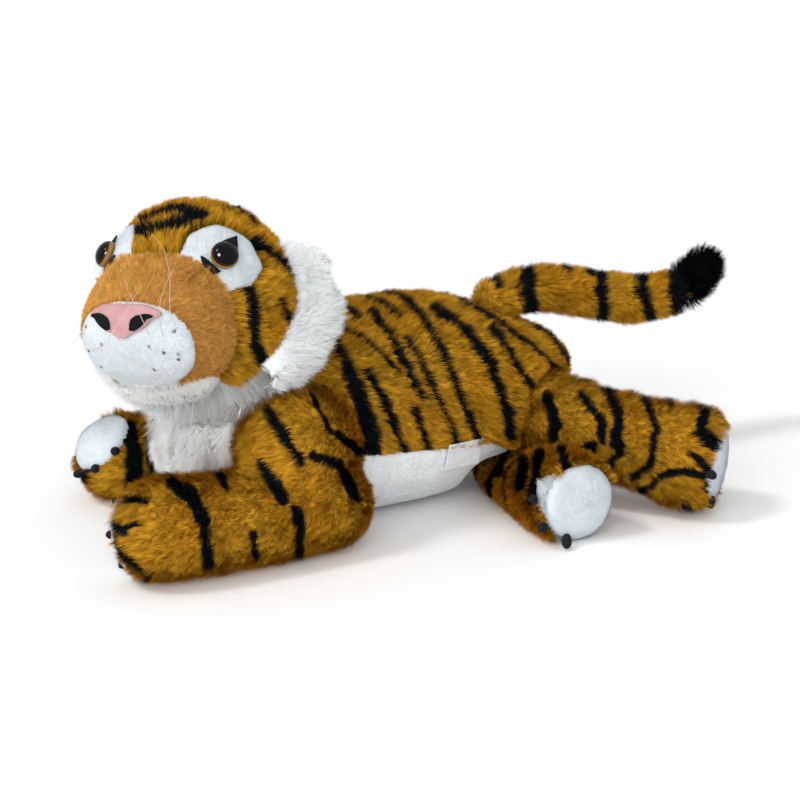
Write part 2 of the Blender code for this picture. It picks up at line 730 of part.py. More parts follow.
def build_nose(frame, muzzle_outer):
    """The pink nose, which follows the muzzle, with a black felt nostril on each side."""
    across = Vector((0, 1, 0))
    start = Vector((MUZZLE_TIP / 2, 0, NOSE_RISE))

    def outline(shares, mirror=1):
        return [(mirror * x * NOSE_WIDTH / 2, -down * NOSE_HEIGHT) for x, down in shares]

    whole = outline(NOSE_SHARES) + outline(NOSE_SHARES, -1)[::-1]

    def layer(name, over):
        return cutter(name, muzzle_form(over), frame)

    nose = piece("nose_pad", prism(whole, start, FORWARD * MUZZLE_TIP, across, UP),
                 material("pink_cloth", PINK, 0.8), frame)
    keep(nose, layer("nose_outer", SEAM + NOSE_THICK))
    cut(nose, muzzle_outer)
    nostril_outer = layer("nostril_outer", SEAM * 2 + NOSE_THICK + FELT)
    nostril_inner = layer("nostril_inner", SEAM * 2 + NOSE_THICK)
    for side, mirror in (("left", 1), ("right", -1)):
        shape = prism(outline(NOSTRIL_SHARES, mirror), start, FORWARD * MUZZLE_TIP, across, UP)
        nostril = piece("nostril_" + side, shape, black_felt(), frame)
        keep(nostril, nostril_outer)
        cut(nostril, nostril_inner)


def build_whiskers(frame, muzzle_outer):
    """Stiff clear hairs that stand on the white of the muzzle."""
    for tag, places in WHISKER_SHARES.items():
        thin = WHISKER_DIAMETER / 2
        stations = [(Vector(place) * MUZZLE_TIP, thin, thin) for place in places[:-1]]
        tip = WHISKER_TIP_SHARE * thin
        stations.append((Vector(places[-1]) * MUZZLE_TIP, tip, tip))
        whisker = piece("whisker_" + tag, stuffed(stations, thin, thin, WHISKER_SIDES),
                        material("clear_hair", CLEAR, 0.3), frame)
        cut(whisker, muzzle_outer)


def build_head(frame, body_room):
    """The skull, muzzle, nose, chin, eyes, ruff and ears, all in the head's own frame."""
    skull_inner = cutter("skull_inner", skull_form(-FUR, SKULL_INNER_SIDES), frame)
    skull_outer = cutter("skull_outer", skull_form(SEAM), frame)
    muzzle_outer = cutter("muzzle_outer", muzzle_form(SEAM), frame)
    muzzle_inner = cutter("muzzle_inner", muzzle_form(-FUR, SKULL_INNER_SIDES), frame)

    crown = piece("crown_fur", skull_form(), tiger_fur(), frame)
    cut(crown, skull_inner, muzzle_outer)
    core = piece("head_stuffing", skull_form(-FUR - FILL_GAP, SKULL_INNER_SIDES), filling(), frame)
    cut(core, muzzle_outer)
    for side, mirror in (("left", 1), ("right", -1)):
        opening, hole, pocket = build_eye(side, mirror, frame, skull_inner, muzzle_outer)
        cut(crown, opening)
        cut(core, hole, pocket)

    base = cutter("muzzle_base", block(
        Vector((-OVERRUN, -MUZZLE_WIDTH, -MUZZLE_HEIGHT)),
        Vector((MUZZLE_SHARES[0][0] * MUZZLE_TIP, MUZZLE_WIDTH, MUZZLE_HEIGHT))), frame)
    tan = piece("muzzle_bridge", muzzle_form(), material("tan_pile", TAN, 0.95), frame)
    cut(tan, muzzle_inner, cutter("muzzle_front_wide", front_half(-SEAM), frame), base)
    white = piece("muzzle_front", muzzle_form(), white_cloth(), frame)
    cut(white, muzzle_inner)
    keep(white, cutter("muzzle_front_half", front_half(0), frame))
    inside = piece("muzzle_stuffing", muzzle_form(-FUR - FILL_GAP, SKULL_INNER_SIDES), filling(),
                   frame)
    cut(inside, base)
    build_nose(frame, muzzle_outer)
    build_whiskers(frame, muzzle_outer)

    chin = piece("chin", chin_form(), white_cloth(), frame)
    cut(chin, muzzle_outer, skull_outer, *body_room)

    for side, mirror in (("left", 1), ("right", -1)):
        ear = piece("ear_" + side, ear_form(mirror), white_cloth(), frame)
        cut(ear, skull_outer, *body_room)
        ear_room = cutter("ear_room_" + side, ear_form(mirror, SEAM), frame)
        ruff = piece("ruff_" + side, ruff_form(mirror), white_cloth(), frame)
        cut(ruff, *body_room, skull_outer, muzzle_outer, ear_room)
        cut(ruff, cutter("chin_room_" + side, chin_form(SEAM), frame))


def neck_part(thing, toward, reach):
    """Keep only what lies within reach degrees of the neck's middle."""
    base = HEAD_CENTRE + toward * NECK_INNER * math.cos(math.radians(reach))
    keep(thing, cutter(thing.name + "_reach", rod(base, base + toward * NECK_INNER, NECK_INNER * 2,
                                                  SKULL_SIDES)))


def build_neck(toward):
    """The bowl of cloth and filling between the skull and its dish in the torso."""
    upright = UP.rotation_difference(toward).to_matrix()

    def bowl(radius):
        return egg(HEAD_CENTRE, (radius, radius, radius), SKULL_SIDES, upright)

    neck = piece("neck_band", bowl(NECK_INNER + NECK_THICK), tiger_fur(), pivot=HEAD_CENTRE)
    cut(neck, cutter("neck_inner", bowl(NECK_INNER)))
    neck_part(neck, toward, NECK_REACH)
    room = cutter("neck_room", ball(HEAD_CENTRE, NECK_SEAT, SKULL_SIDES))
    neck_part(room, toward, NECK_REACH + HEAD_NODS[-1] + NECK_SPARE)
    return room


# Limbs

def arc_of_claws(tag, centre, normal, toes, radius, leg_outer):
    """Three black claws on the toe side of a paw's rim."""
    toes = (toes - normal * toes.dot(normal)).normalized()
    beside = normal.cross(toes)
    lean = math.radians(CLAW_LEAN)
    for number, turn in enumerate((-CLAW_SPREAD, 0, CLAW_SPREAD), 1):
        angle = math.radians(turn)
        rim = toes * math.cos(angle) + beside * math.sin(angle)
        out = rim * math.sin(lean) + normal * math.cos(lean)
        turned_to = Matrix((out, out.cross(beside).normalized(),
                            out.cross(out.cross(beside)).normalized())).transposed()
        claw = piece("claw_%s_%d" % (tag, number),
                     egg(centre + out * radius, (CLAW_LENGTH / 2, CLAW_WIDTH / 2, CLAW_WIDTH / 2),
                         SMALL_SIDES, turned_to),
                     black_felt())
        cut(claw, leg_outer)


def sole_point(stations, cap, normal, lean):
    """A place on a leg's domed end, lean degrees from its tip toward where the sole faces."""
    end = Vector(stations[-1][0])
    axis = (end - Vector(stations[-2][0])).normalized()
    beside = (normal - axis * normal.dot(axis)).normalized()
    radius = max(stations[-1][1:])
    angle = math.radians(lean)
    return end + axis * cap * math.cos(angle) + beside * radius * math.sin(angle)


def build_leg(tag, seat, seat_radius, stations, caps, rooms, limb_rooms, floor):
    """One leg: a fur skin with a round end in its seat, stuffing, a sole and three claws.

    The rooms are cut from the whole leg, and the limb rooms only from what lies past its seat.
    """
    start_cap, end_cap = caps

    def form(grow, sides=LIMB_SIDES):
        lowest = -FLAT_DEPTH - grow
        return stuffed(stations, start_cap, end_cap, sides, grow, LIMB_FULLNESS, lowest)

    def round_end(grow, sides=SEAT_SIDES):
        return ball(seat, seat_radius, sides, grow)

    foot = Vector(stations[-2][0])
    foot_radius = max(stations[-2][1:])
    sole_facing, toe_facing, sole_lean = FACINGS[tag]
    normal = Vector(sole_facing).normalized()
    inner = cutter(tag + "_inner", form(-FUR, LIMB_INNER_SIDES))
    inner_end = cutter(tag + "_inner_end", round_end(-FUR, SEAT_INNER_SIDES))
    inner_core = cutter(tag + "_core", form(-FUR - FILL_GAP, LIMB_INNER_SIDES))
    outer = cutter(tag + "_outer", form(0))
    cut(inner_core, *limb_rooms)
    cut(outer, *limb_rooms)
    claw_room = cutter(tag + "_claw_room", form(SEAM))
    tip = sole_point(stations, end_cap, normal, sole_lean)
    sole_base = tip - normal * SOLE_DEPTH
    sole_end = tip + normal * foot_radius
    sole_hole = cutter(tag + "_sole_hole", rod(sole_base, sole_end, SOLE_RADIUS + SEAM, LIMB_SIDES))

    fur = piece("leg_fur_" + tag, round_end(0), tiger_fur(), pivot=seat)
    join(fur, outer)
    cut(fur, inner_end, inner, sole_hole)
    core = piece("leg_stuffing_" + tag, round_end(-FUR - FILL_GAP, SEAT_INNER_SIDES), filling(),
                 pivot=seat)
    join(core, inner_core)
    sole = piece("sole_" + tag, rod(sole_base, sole_end, SOLE_RADIUS, LIMB_SIDES), white_cloth())
    keep(sole, outer)
    cut(sole, inner)
    for thing in (fur, core, sole):
        cut(thing, *rooms)
    cut(fur, floor)
    cut(sole, floor)
    arc_of_claws(tag, foot, normal, Vector(toe_facing), foot_radius, claw_room)


def foreleg_stations(seat, reach, leg_radius):
    """Places along a foreleg that lies flat on the floor, from its elbow to its paw."""
    stations = []
    for ahead, aside, swell in FORELEG_SHARES:
        radius = swell * leg_radius
        side = math.copysign(aside * SHOULDER_RADIUS, seat.y)
        centre = Vector((seat.x - ahead * reach, seat.y + side, radius - FLAT_DEPTH))
        stations.append((centre, radius, radius))
    return stations


def hip_stations(seat, shares, radius):
    """Places along a hind leg: offsets from its seat and swellings, in shares of a radius."""
    return [(seat + Vector(place) * radius, wide * radius, tall * radius)
            for place, wide, tall in shares]


def build_tail(seat, rooms):
    """The tail's fur, its stuffing and the black tuft at its tip."""
    stations = []
    for along, rise, swell in TAIL_SHARES:
        centre = seat + Vector((along * TAIL_LENGTH, 0, rise * TAIL_RADIUS))
        stations.append((centre, swell * TAIL_RADIUS, swell * TAIL_RADIUS))
    tuft_stations = []
    end = stations[-1][0]
    for along, rise, swell in TUFT_SHARES:
        centre = end + Vector((along * TUFT_LENGTH, 0, rise * TUFT_LENGTH))
        tuft_stations.append((centre, swell * TAIL_RADIUS, swell * TAIL_RADIUS))

    def form(grow, sides=LIMB_SIDES):
        return stuffed(stations, TAIL_RADIUS / 2, TAIL_RADIUS / 2, sides, grow)

    def round_end(grow, sides=SEAT_SIDES):
        return ball(seat, TAIL_RADIUS, sides, grow)

    seam = stations[-1][0]
    cap = rod(seam, seam + FORWARD * TUFT_LENGTH * 2, TAIL_RADIUS * 2, LIMB_SIDES)
    end_cut = cutter("tail_end", cap)
    outer = cutter("tail_outer", form(0))
    inner_core = cutter("tail_core", form(-FUR - FILL_GAP, LIMB_INNER_SIDES))
    cut(outer, *rooms)
    cut(inner_core, *rooms)
    fur = piece("tail_fur", round_end(0), tiger_fur(), pivot=seat)
    join(fur, outer)
    cut(fur, cutter("tail_inner_end", round_end(-FUR, SEAT_INNER_SIDES)),
        cutter("tail_inner", form(-FUR, LIMB_INNER_SIDES)), end_cut)
    core = piece("tail_stuffing", round_end(-FUR - FILL_GAP, SEAT_INNER_SIDES), filling(), pivot=seat)
    join(core, inner_core)
    cut(core, end_cut)
    caps = [share * TAIL_RADIUS for share in TUFT_CAP_SHARES]
    tuft = piece("tail_tip", stuffed(tuft_stations, *caps, LIMB_SIDES), black_felt())
    cut(tuft, cutter("tuft_seam", rod(seam + FORWARD * (SEAM - TUFT_LENGTH * 2),
                                      seam + FORWARD * SEAM, TAIL_RADIUS * 2, LIMB_SIDES)))


def swung(name, shape, pivot, axis, degrees):
    """A helper shape turned about a joint, so that its swing is cut clear."""
    turn = Matrix.Rotation(math.radians(degrees), 4, axis)
    move = Matrix.Translation(pivot) @ turn @ Matrix.Translation(-pivot)
    bmesh.ops.transform(shape, matrix=move, verts=shape.verts)
    return cutter("%s_%+d" % (name, degrees), shape)


def torso_rooms(tag, seat, axis, swings):
    """The torso as a leg meets it over its swing, to cut from that leg."""
    return [swung(tag + "_torso", torso_form(JOINT_GAP), seat, axis, -degrees) for degrees in swings]


def head_poses():
    """The turns of the head about its middle, over its whole range."""
    nod_axis = head_turn() @ Vector((0, -1, 0))
    poses = []
    for turn in HEAD_TURNS:
        for nod in HEAD_NODS:
            turned_to = (Matrix.Rotation(math.radians(turn), 4, UP)
                         @ Matrix.Rotation(math.radians(nod), 4, nod_axis))
            poses.append(("%+d_%+d" % (turn, nod), turned_to))
    return poses


def head_rooms(shapes):
    """Neighbours of the head as its pieces meet them over its turns and nods."""
    rooms = []
    for name, make in shapes:
        for label, pose in head_poses():
            shape = make()
            move = (Matrix.Translation(HEAD_CENTRE) @ pose.inverted()
                    @ Matrix.Translation(-HEAD_CENTRE))
            bmesh.ops.transform(shape, matrix=move, verts=shape.verts)
            rooms.append(cutter("%s_%s" % (name, label), shape))
    return rooms


def ruff_rooms():
    """The ruffs as the chest meets them over the head's turns and nods."""
    rooms = []
    for mirror in (1, -1):
        for label, pose in head_poses():
            shape = ruff_form(mirror, JOINT_GAP)
            move = Matrix.Translation(HEAD_CENTRE) @ pose @ head_turn().to_4x4()
            bmesh.ops.transform(shape, matrix=move, verts=shape.verts)
            rooms.append(cutter("ruff_room_%+d_%s" % (mirror, label), shape))
    return rooms


def main():
    clear_scene()
    frame = bpy.data.objects.new("head_frame", None)
    bpy.context.scene.collection.objects.link(frame)
    frame.matrix_world = Matrix.Translation(HEAD_CENTRE) @ head_turn().to_4x4()
    bpy.context.view_layer.update()

    floor = cutter("floor", block(Vector((TORSO_FRONT - TORSO_LENGTH, -TORSO_LENGTH, -OVERRUN)),
                                  Vector((TORSO_LENGTH, TORSO_LENGTH, 0))))
    left = torso_place(*SHOULDER_SHARES)
    seats = {
        "front_left": (left, SHOULDER_RADIUS),
        "front_right": (Vector((left.x, -left.y, left.z)), SHOULDER_RADIUS),
        "hind_left": (torso_place(*HIP_SHARES), HIP_RADIUS),
        "hind_right": (torso_place(*TUCKED_HIP_SHARES), TUCKED_HIP_RADIUS),
        "tail": (torso_place(*TAIL_SEAT_SHARES), TAIL_RADIUS),
    }

    def seat_ball(tag):
        place, radius = seats[tag]
        return ball(place, around(radius + JOINT_GAP, SEAT_SIDES), SEAT_SIDES)

    dishes = {tag: cutter("seat_" + tag, seat_ball(tag)) for tag in seats}
    neck_dish = cutter("neck_dish", ball(HEAD_CENTRE, NECK_SEAT, SKULL_SIDES))
    neck_toward = (torso_place(*NECK_AIM_SHARES) - HEAD_CENTRE).normalized()

    hind_seat = seats["hind_left"][0]
    tucked_seat = seats["hind_right"][0]
    hind = hip_stations(hind_seat, HIND_SHARES, HINDLEG_RADIUS)
    tucked = hip_stations(tucked_seat, TUCKED_SHARES, TUCKED_LEG_RADIUS)
    tucked_caps = (TUCKED_HIP_RADIUS / 2, TUCKED_LEG_RADIUS / 3)
    tucked_rooms = [swung("tucked_room", stuffed(tucked, *tucked_caps, SMALL_SIDES, TUCK_GAP),
                          tucked_seat, UP, degrees) for degrees in TUCKED_SWINGS]
    build_torso([*dishes.values(), neck_dish], tucked_rooms, ruff_rooms(), floor)
    neck_room = build_neck(neck_toward)
    build_head(frame, [neck_room] + head_rooms([
        ("left_arm_room", lambda: seat_ball("front_left")),
        ("right_arm_room", lambda: seat_ball("front_right")),
        ("chest_room", lambda: torso_form(JOINT_GAP)),
    ]))

    for tag, reach, leg_radius, lean in (("front_left", FORELEG_REACH, FORELEG_RADIUS, 1),
                                         ("front_right", FAR_FORELEG_REACH, FAR_FORELEG_RADIUS, -1)):
        seat, radius = seats[tag]
        axis = Vector((0, FORELEG_AXIS[0], lean * FORELEG_AXIS[1]))
        neck_rooms = [swung(tag + "_neck", ball(HEAD_CENTRE, NECK_SEAT, SKULL_SIDES), seat, axis,
                            -degrees) for degrees in FORELEG_SWINGS]
        caps = (ELBOW_CAP_SHARE * leg_radius, PAW_CAP_SHARE * leg_radius)
        build_leg(tag, seat, radius, foreleg_stations(seat, reach, leg_radius), caps, neck_rooms,
                  torso_rooms(tag, seat, axis, FORELEG_SWINGS), floor)
    near_leg = cutter("near_leg_room", stuffed(hind, HIP_RADIUS / 2, HINDLEG_RADIUS / 2, LIMB_SIDES,
                                               JOINT_GAP, LIMB_FULLNESS))
    build_leg("hind_left", hind_seat, HIP_RADIUS, hind, (HIP_RADIUS / 2, HINDLEG_RADIUS / 2), [],
              torso_rooms("hind_left", hind_seat, HINDLEG_AXIS, HINDLEG_SWINGS), floor)
    build_leg("hind_right", tucked_seat, TUCKED_HIP_RADIUS, tucked, tucked_caps,
              [dishes["hind_left"], near_leg], [], floor)
    tail_seat = seats["tail"][0]
    build_tail(tail_seat, torso_rooms("tail", tail_seat, UP, TAIL_SWINGS))


main()
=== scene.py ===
"""Looks of the lying plush tiger: sewn skins, their pile, the face and the light.

Each cloth skin is its solid's form, rounded and sunk by the depth of its pile. The pile that
stands on it is meshes of tapered hairs. Places are in metres in the frame of the solids.
"""

import math
from collections import namedtuple

import bmesh
import bpy
import numpy as np
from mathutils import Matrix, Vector
from mathutils.bvhtree import BVHTree
from mathutils.kdtree import KDTree


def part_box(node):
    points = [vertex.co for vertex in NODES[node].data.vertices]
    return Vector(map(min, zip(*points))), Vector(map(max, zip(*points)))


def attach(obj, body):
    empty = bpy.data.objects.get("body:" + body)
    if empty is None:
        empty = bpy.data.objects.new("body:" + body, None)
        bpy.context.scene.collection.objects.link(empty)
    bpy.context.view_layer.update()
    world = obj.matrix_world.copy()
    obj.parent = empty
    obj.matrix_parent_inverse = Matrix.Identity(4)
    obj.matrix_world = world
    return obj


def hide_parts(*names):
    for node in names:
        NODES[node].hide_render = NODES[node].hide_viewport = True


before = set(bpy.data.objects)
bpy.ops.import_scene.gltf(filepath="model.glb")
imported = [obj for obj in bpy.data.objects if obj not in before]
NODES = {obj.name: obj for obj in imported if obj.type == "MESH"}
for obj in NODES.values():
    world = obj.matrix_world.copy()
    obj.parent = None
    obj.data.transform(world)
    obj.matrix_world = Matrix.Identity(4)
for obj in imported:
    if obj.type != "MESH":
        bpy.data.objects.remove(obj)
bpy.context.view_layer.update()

MM = 0.001
MATERIAL = {}

# The camera of the photograph; BACK, RIGHT and ABOVE point toward it and across its picture
TARGET = Vector((0.030, 0.0, 0.060))
AZIMUTH = math.radians(30)
ELEVATION = math.radians(16)
DISTANCE = 1.4222
LENS = 100
SENSOR = 36
PICTURE = 800
BACK = np.array((-math.sin(AZIMUTH) * math.cos(ELEVATION),
                 -math.cos(AZIMUTH) * math.cos(ELEVATION), math.sin(ELEVATION)))
RIGHT = np.array((math.cos(AZIMUTH), -math.sin(AZIMUTH), 0.0))
ABOVE = np.cross(BACK, RIGHT)
CAMERA_PLACE = np.array(TARGET) + BACK * DISTANCE
FOCUS = LENS / SENSOR * PICTURE

# The head's own frame, as the solids have it: forward, left, up
HEAD_CENTRE = np.array((-0.117, -0.011, 0.143))
HEAD_YAW = math.radians(34)
HEAD_PITCH = math.radians(1.5)
HEAD_ROLL = math.radians(5)
SKULL = 62 * MM
FACE_DEPTH = 52 * MM
EYE_SPREAD = 0.645 * SKULL
EYE_RISE = 0.55 * SKULL
MUZZLE_TIP = 76 * MM

# The domed eye: its radius, the height of its dome on its rim, and the rim, a little narrower below
EYE_RADIUS = 8.25 * MM
EYE_DOME = 6.0 * MM
EYE_RIM = 0.6 * MM
EYE_RIM_SHARE = 0.985
EYE_RINGS = 28
EYE_SIDES = 64
# How far from the eye's middle the pupil and the amber ring reach, in shares of its radius
PUPIL_REACH = 0.85
AMBER_REACH = 0.96

# Colours in linear light
GOLD = (0.60, 0.298, 0.021)
UMBER = (0.48, 0.198, 0.009)
STRIPE = (0.006, 0.008, 0.010)
WHITE = (0.70, 0.76, 0.80)
# The belly's velboa is the same white cloth, painted lighter to make up for the shade it lies in
BELLY_WHITE_PAINTED_LIGHT = (0.91, 0.96, 0.99)
FLUFF = (0.93, 0.96, 0.96)
IVORY = (0.98, 0.99, 0.97)
TAN = (0.69, 0.330, 0.075)
BLACK = (0.006, 0.007, 0.009)
TUFT = (0.003, 0.003, 0.004)
PINK = (0.56, 0.30, 0.305)
# The colour of the painted shadow in the crease of the muzzle
CREASE_SHADOW = (0.25, 0.11, 0.02)
PUPIL = (0.002, 0.002, 0.002)
AMBER = (0.035, 0.013, 0.004)
EYE_GOLD = (0.32, 0.16, 0.045)

# The dots on the white of the muzzle, in the head's frame: left and up
DOTS = np.array((
    (15.1, -9.9), (22.3, -13.7), (29.9, -15.3), (29.0, -18.4), (29.7, -1.6), (13.4, -24.3),
    (-29.5, -0.2), (-17.2, -9.6), (-30.7, -14.7), (-24.6, -24.7),
)) * MM
DOT_RADIUS = 1.0 * MM
DOT_EDGE = 0.5 * MM
DOT_SHADE = 0.9
# They are only on the front, this far ahead of the skull's middle
DOT_AHEAD = 30 * MM

# Inner edge of the ruff on the crown: degrees from the top, and millimetres ahead of the middle
RUFF_EDGE = ((0, 45, 50, 70, 84, 94, 111, 129, 140, 150, 180),
             (-90, -90, -28, -29, -17, -8, 3, 13, 18, 70, 70))
RUFF_BREADTH = 18 * MM
# The white of the throat starts this many degrees from the top of the head, and ends this far
# behind the skull's middle
THROAT_ANGLE = 115
NAPE = 28 * MM
# On the neck, tiger fur fades in this far behind the ruff's inner edge
NECK_WHITE = 16 * MM
NECK_FADE = 6 * MM

# The fine hairs of the muzzle, in shares of its reach; the last two have no solid
HAIRS = (
    ("whisker_left_1", ((0.87, 0.38, -0.06), (1.03, 0.42, 0.15), (1.13, 0.52, 0.41),
                        (1.23, 0.56, 0.64), (1.33, 0.53, 0.76))),
    ("whisker_left_2", ((0.88, 0.29, -0.20), (1.01, 0.32, 0.00), (1.11, 0.39, 0.21),
                        (1.18, 0.50, 0.37), (1.25, 0.65, 0.53))),
    ("whisker_right_1", ((0.88, -0.38, 0.02), (1.00, -0.43, -0.07), (1.08, -0.49, -0.17),
                         (1.14, -0.53, -0.24), (1.22, -0.50, -0.20))),
    ("whisker_right_2", ((0.86, -0.40, -0.19), (1.02, -0.30, -0.17), (1.12, -0.11, -0.09),
                         (1.20, 0.08, 0.08), (1.27, 0.24, 0.23), (1.33, 0.37, 0.36))),
    ("", ((0.92, 0.18, -0.16), (1.05, 0.22, 0.03), (1.17, 0.22, 0.22), (1.27, 0.23, 0.36),
          (1.34, 0.26, 0.46))),
    ("", ((0.85, 0.19, -0.34), (1.00, 0.17, -0.29), (1.10, 0.12, -0.22), (1.20, 0.07, -0.14),
          (1.28, 0.01, -0.06))),
)
HAIR_RADIUS = 0.225 * MM
HAIR_TIP_SHARE = 0.35
HAIR_STEPS = 24
HAIR_SIDES = 6

# The ground: how bright it shows to the camera and to all other rays, and half its size
FLOOR_TONE = 1.07
FLOOR_SHADE = 0.92
FLOOR_REACH = 6


def picture_places(points):
    """Where points fall in the photograph, in its pixels."""
    away = points - CAMERA_PLACE
    depth = -(away @ BACK)
    across = PICTURE / 2 + FOCUS * (away @ RIGHT) / depth
    down = PICTURE / 2 - FOCUS * (away @ ABOVE) / depth
    return np.stack((across, down), axis=1)


def head_axes():
    """The head's own directions forward, left and up, one a row."""
    ahead = np.array((-math.cos(HEAD_YAW), -math.sin(HEAD_YAW), 0.0))
    left = np.array((math.sin(HEAD_YAW), -math.cos(HEAD_YAW), 0.0))
    up = np.array((0.0, 0.0, 1.0))
    tipped = ahead * math.cos(HEAD_PITCH) + up * math.sin(HEAD_PITCH)
    upright = up * math.cos(HEAD_PITCH) - ahead * math.sin(HEAD_PITCH)
    side = left * math.cos(HEAD_ROLL) + upright * math.sin(HEAD_ROLL)
    top = upright * math.cos(HEAD_ROLL) - left * math.sin(HEAD_ROLL)
    return np.stack((tipped, side, top))


HEAD_AXES = head_axes()


# Stripes, read off the photograph: a width in pixels, then the points of its line
TORSO_STRIPES = (
    (11, (336, 344), (346, 364)), (15, (346, 364), (355, 386)),
    (18, (355, 386), (371, 428), (371, 453)), (9, (367, 372), (390, 412), (405, 453)),
    (6, (344, 328), (376, 347), (398, 372)), (10, (373, 313), (392, 338), (407, 366), (420, 395)),
    (9, (415, 409), (428, 451)), (7, (407, 338), (426, 372), (445, 412), (457, 443)),
    (7, (378, 300), (399, 315)), (9, (401, 296), (424, 319), (445, 357), (463, 405), (478, 439)),
    (12, (434, 308), (468, 332), (491, 366), (507, 414), (511, 436)),
    (9, (491, 328), (510, 353), (530, 386), (543, 403)),
    (6, (459, 300), (484, 313), (506, 328), (545, 357), (570, 384)),
    (7, (516, 311), (549, 336), (577, 372)), (13, (544, 410), (544, 420)),
    (13, (538, 444), (543, 452)), (8, (345, 305), (356, 316)),
    (8, (325, 388), (345, 420), (361, 443)),
)
HEAD_STRIPES = (
    (11, (144, 217), (150, 212), (172, 209), (192, 211), (203, 215)),
    (12, (139, 231), (162, 226), (186, 221), (203, 215)),
    (8, (205, 200), (226, 205), (243, 213), (256, 224)), (10, (254, 241), (271, 254), (292, 272)),
    (12, (249, 289), (254, 318), (254, 345), (264, 364)), (9, (281, 301), (289, 319)),
)
FORELEG_STRIPES = (
    (16, (171, 484), (191, 496), (203, 520)), (11, (203, 520), (208, 566)),
    (8, (219, 475), (225, 489)), (13, (262, 466), (283, 500)),
    (11, (296, 510), (300, 530), (298, 552)), (8, (252, 533), (256, 556)),
    (12, (267, 410), (284, 436), (300, 461)), (6, (311, 395), (331, 433)),
    (9, (337, 434), (359, 452)), (11, (312, 456), (338, 464), (356, 498)),
    (8, (124, 500), (146, 501)), (12, (114, 526), (124, 530)), (6, (124, 526), (138, 524)),
    (8, (114, 540), (126, 556), (138, 568), (148, 576)),
)
FAR_FORELEG_STRIPES = (
    (17, (128, 428), (135, 455), (132, 492)), (9, (150, 440), (152, 476)),
    (11, (105, 453), (118, 441)), (9, (84, 479), (90, 462)),
)
HIND_STRIPES = (
    (10, (581, 395), (600, 418), (603, 440)), (12, (604, 385), (619, 413), (616, 442)),
    (9, (644, 395), (656, 428), (651, 464), (634, 477)), (13, (591, 446), (577, 471)),
    (9, (621, 446), (604, 477)), (9, (644, 491), (665, 473), (685, 471), (714, 477)),
    (7, (691, 454), (710, 471)), (12, (704, 409), (700, 432), (716, 446)),
    (6, (670, 402), (672, 405)), (6, (656, 506), (658, 509)), (12, (707, 487), (716, 478)),
    (8, (684, 507), (690, 510)), (12, (548, 398), (556, 424), (552, 450)),
)
FAR_HIND_STRIPES = (
    (12, (524, 462), (520, 486)), (10, (540, 452), (532, 500)), (10, (562, 450), (568, 470)),
    (9, (505, 455), (500, 474)),
)
TAIL_STRIPES = (
    (17, (527, 258), (530, 318)), (14, (600, 262), (603, 326)),
    (14, (638, 270), (645, 300), (653, 326)), (22, (678, 264), (680, 322)),
    (6, (565, 264), (568, 272)), (6, (588, 268), (592, 275)), (8, (494, 274), (499, 286)),
)
# The white of the far hind sole, as the photograph shows its outline, and how deep it goes
FAR_HIND_SOLE = ((537, 483), (561, 477), (594, 478), (618, 487), (622, 500), (614, 520),
                 (600, 539), (577, 546), (561, 541), (548, 524), (540, 504))
FAR_HIND_SOLE_REACH = 20 * MM
# The white of the chest, as the photograph shows its outline, and a place inside the chest
CHEST = ((110, 385), (160, 372), (222, 372), (248, 390), (252, 405), (245, 416), (238, 452),
         (238, 480), (160, 482), (144, 437), (118, 410))
CHEST_MIDDLE = np.array((-0.06, 0.0, 0.06))
# A painted shadow along the crease between the bridge of the muzzle and the cheek: its width in
# pixels and its line, as the stripes have them, and how dark it gets
TAN_CREASE_SHADOW_LINES = ((3, (186, 285), (194, 277), (203, 270)),)
TAN_CREASE_SHADOW_STRENGTH = 0.5

# Where the photograph doesn't show a place, bands or rings stand in for its stripes: their
# pitch, their width, and how far they waver. Those of the head are in degrees
WAVER = 25 * MM
RUMP_BANDS = (27 * MM, 7 * MM, 4 * MM)
NAPE_RINGS = (34, 9.2, 5)
RING_WAVER = 5 * MM
# The rump and the nape are the parts that face away from the camera, by the cosine of the angle
RUMP_FACING = 0.05
NAPE_FACING = 0.30
# The nape's rings end this far to each side, and what is hidden reaches a little further
NAPE_HALF_WIDTH = 38 * MM
NAPE_REACH = 0.8 * SKULL
# The torso's middle line: its front end, and how far back it runs
TORSO_FRONT = np.array((-0.09, 0.0, 0.06))
TORSO_REAR = 0.10


# Materials

CLOTH_SPECULAR = 0.05
# The range that most values of a noise lie in
NOISE_LOW = 0.3
NOISE_HIGH = 0.7
# How much finer a cloth's relief is than its changes of shade, and how deep
RELIEF_FINENESS = 9
RELIEF_DEPTH = 0.4 * MM

# Plain cloths: colour, scale of the changes of shade, roughness, sheen, strength of the relief
PLAIN_CLOTHS = (
    ("felt", BLACK, 160.0, 0.95, 0.05, 0.8),
    ("claw", (0.010, 0.010, 0.012), 160.0, 0.6, 0.05, 0.3),
    ("nose", PINK, 120.0, 0.62, 0.2, 0.35),
    ("label", (0.80, 0.82, 0.85), 260.0, 0.5, 0.1, 0.4),
    ("filling", (0.85, 0.85, 0.83), 90.0, 0.95, 0.2, 1.0),
)


def socket(node, name, value):
    node.inputs[name].default_value = value


def make_material(name, roughness, specular, sheen=0.0):
    """A new material, kept under its name: its node tree and its shader."""
    made = bpy.data.materials.new(name)
    made.use_nodes = True
    tree = made.node_tree
    shader = tree.nodes["Principled BSDF"]
    socket(shader, "Roughness", roughness)
    socket(shader, "Specular IOR Level", specular)
    socket(shader, "Sheen Weight", sheen)
    MATERIAL[name] = made
    return tree, shader


def noise_output(tree, scale):
    where = tree.nodes.new("ShaderNodeTexCoord")
    noise = tree.nodes.new("ShaderNodeTexNoise")
    socket(noise, "Scale", scale)
    tree.links.new(where.outputs["Object"], noise.inputs["Vector"])
    return noise.outputs["Fac"]


def dye_output(tree):
    """The colour that each point of the mesh keeps."""
    colour = tree.nodes.new("ShaderNodeVertexColor")
    colour.layer_name = "dye"
    return colour.outputs["Color"]


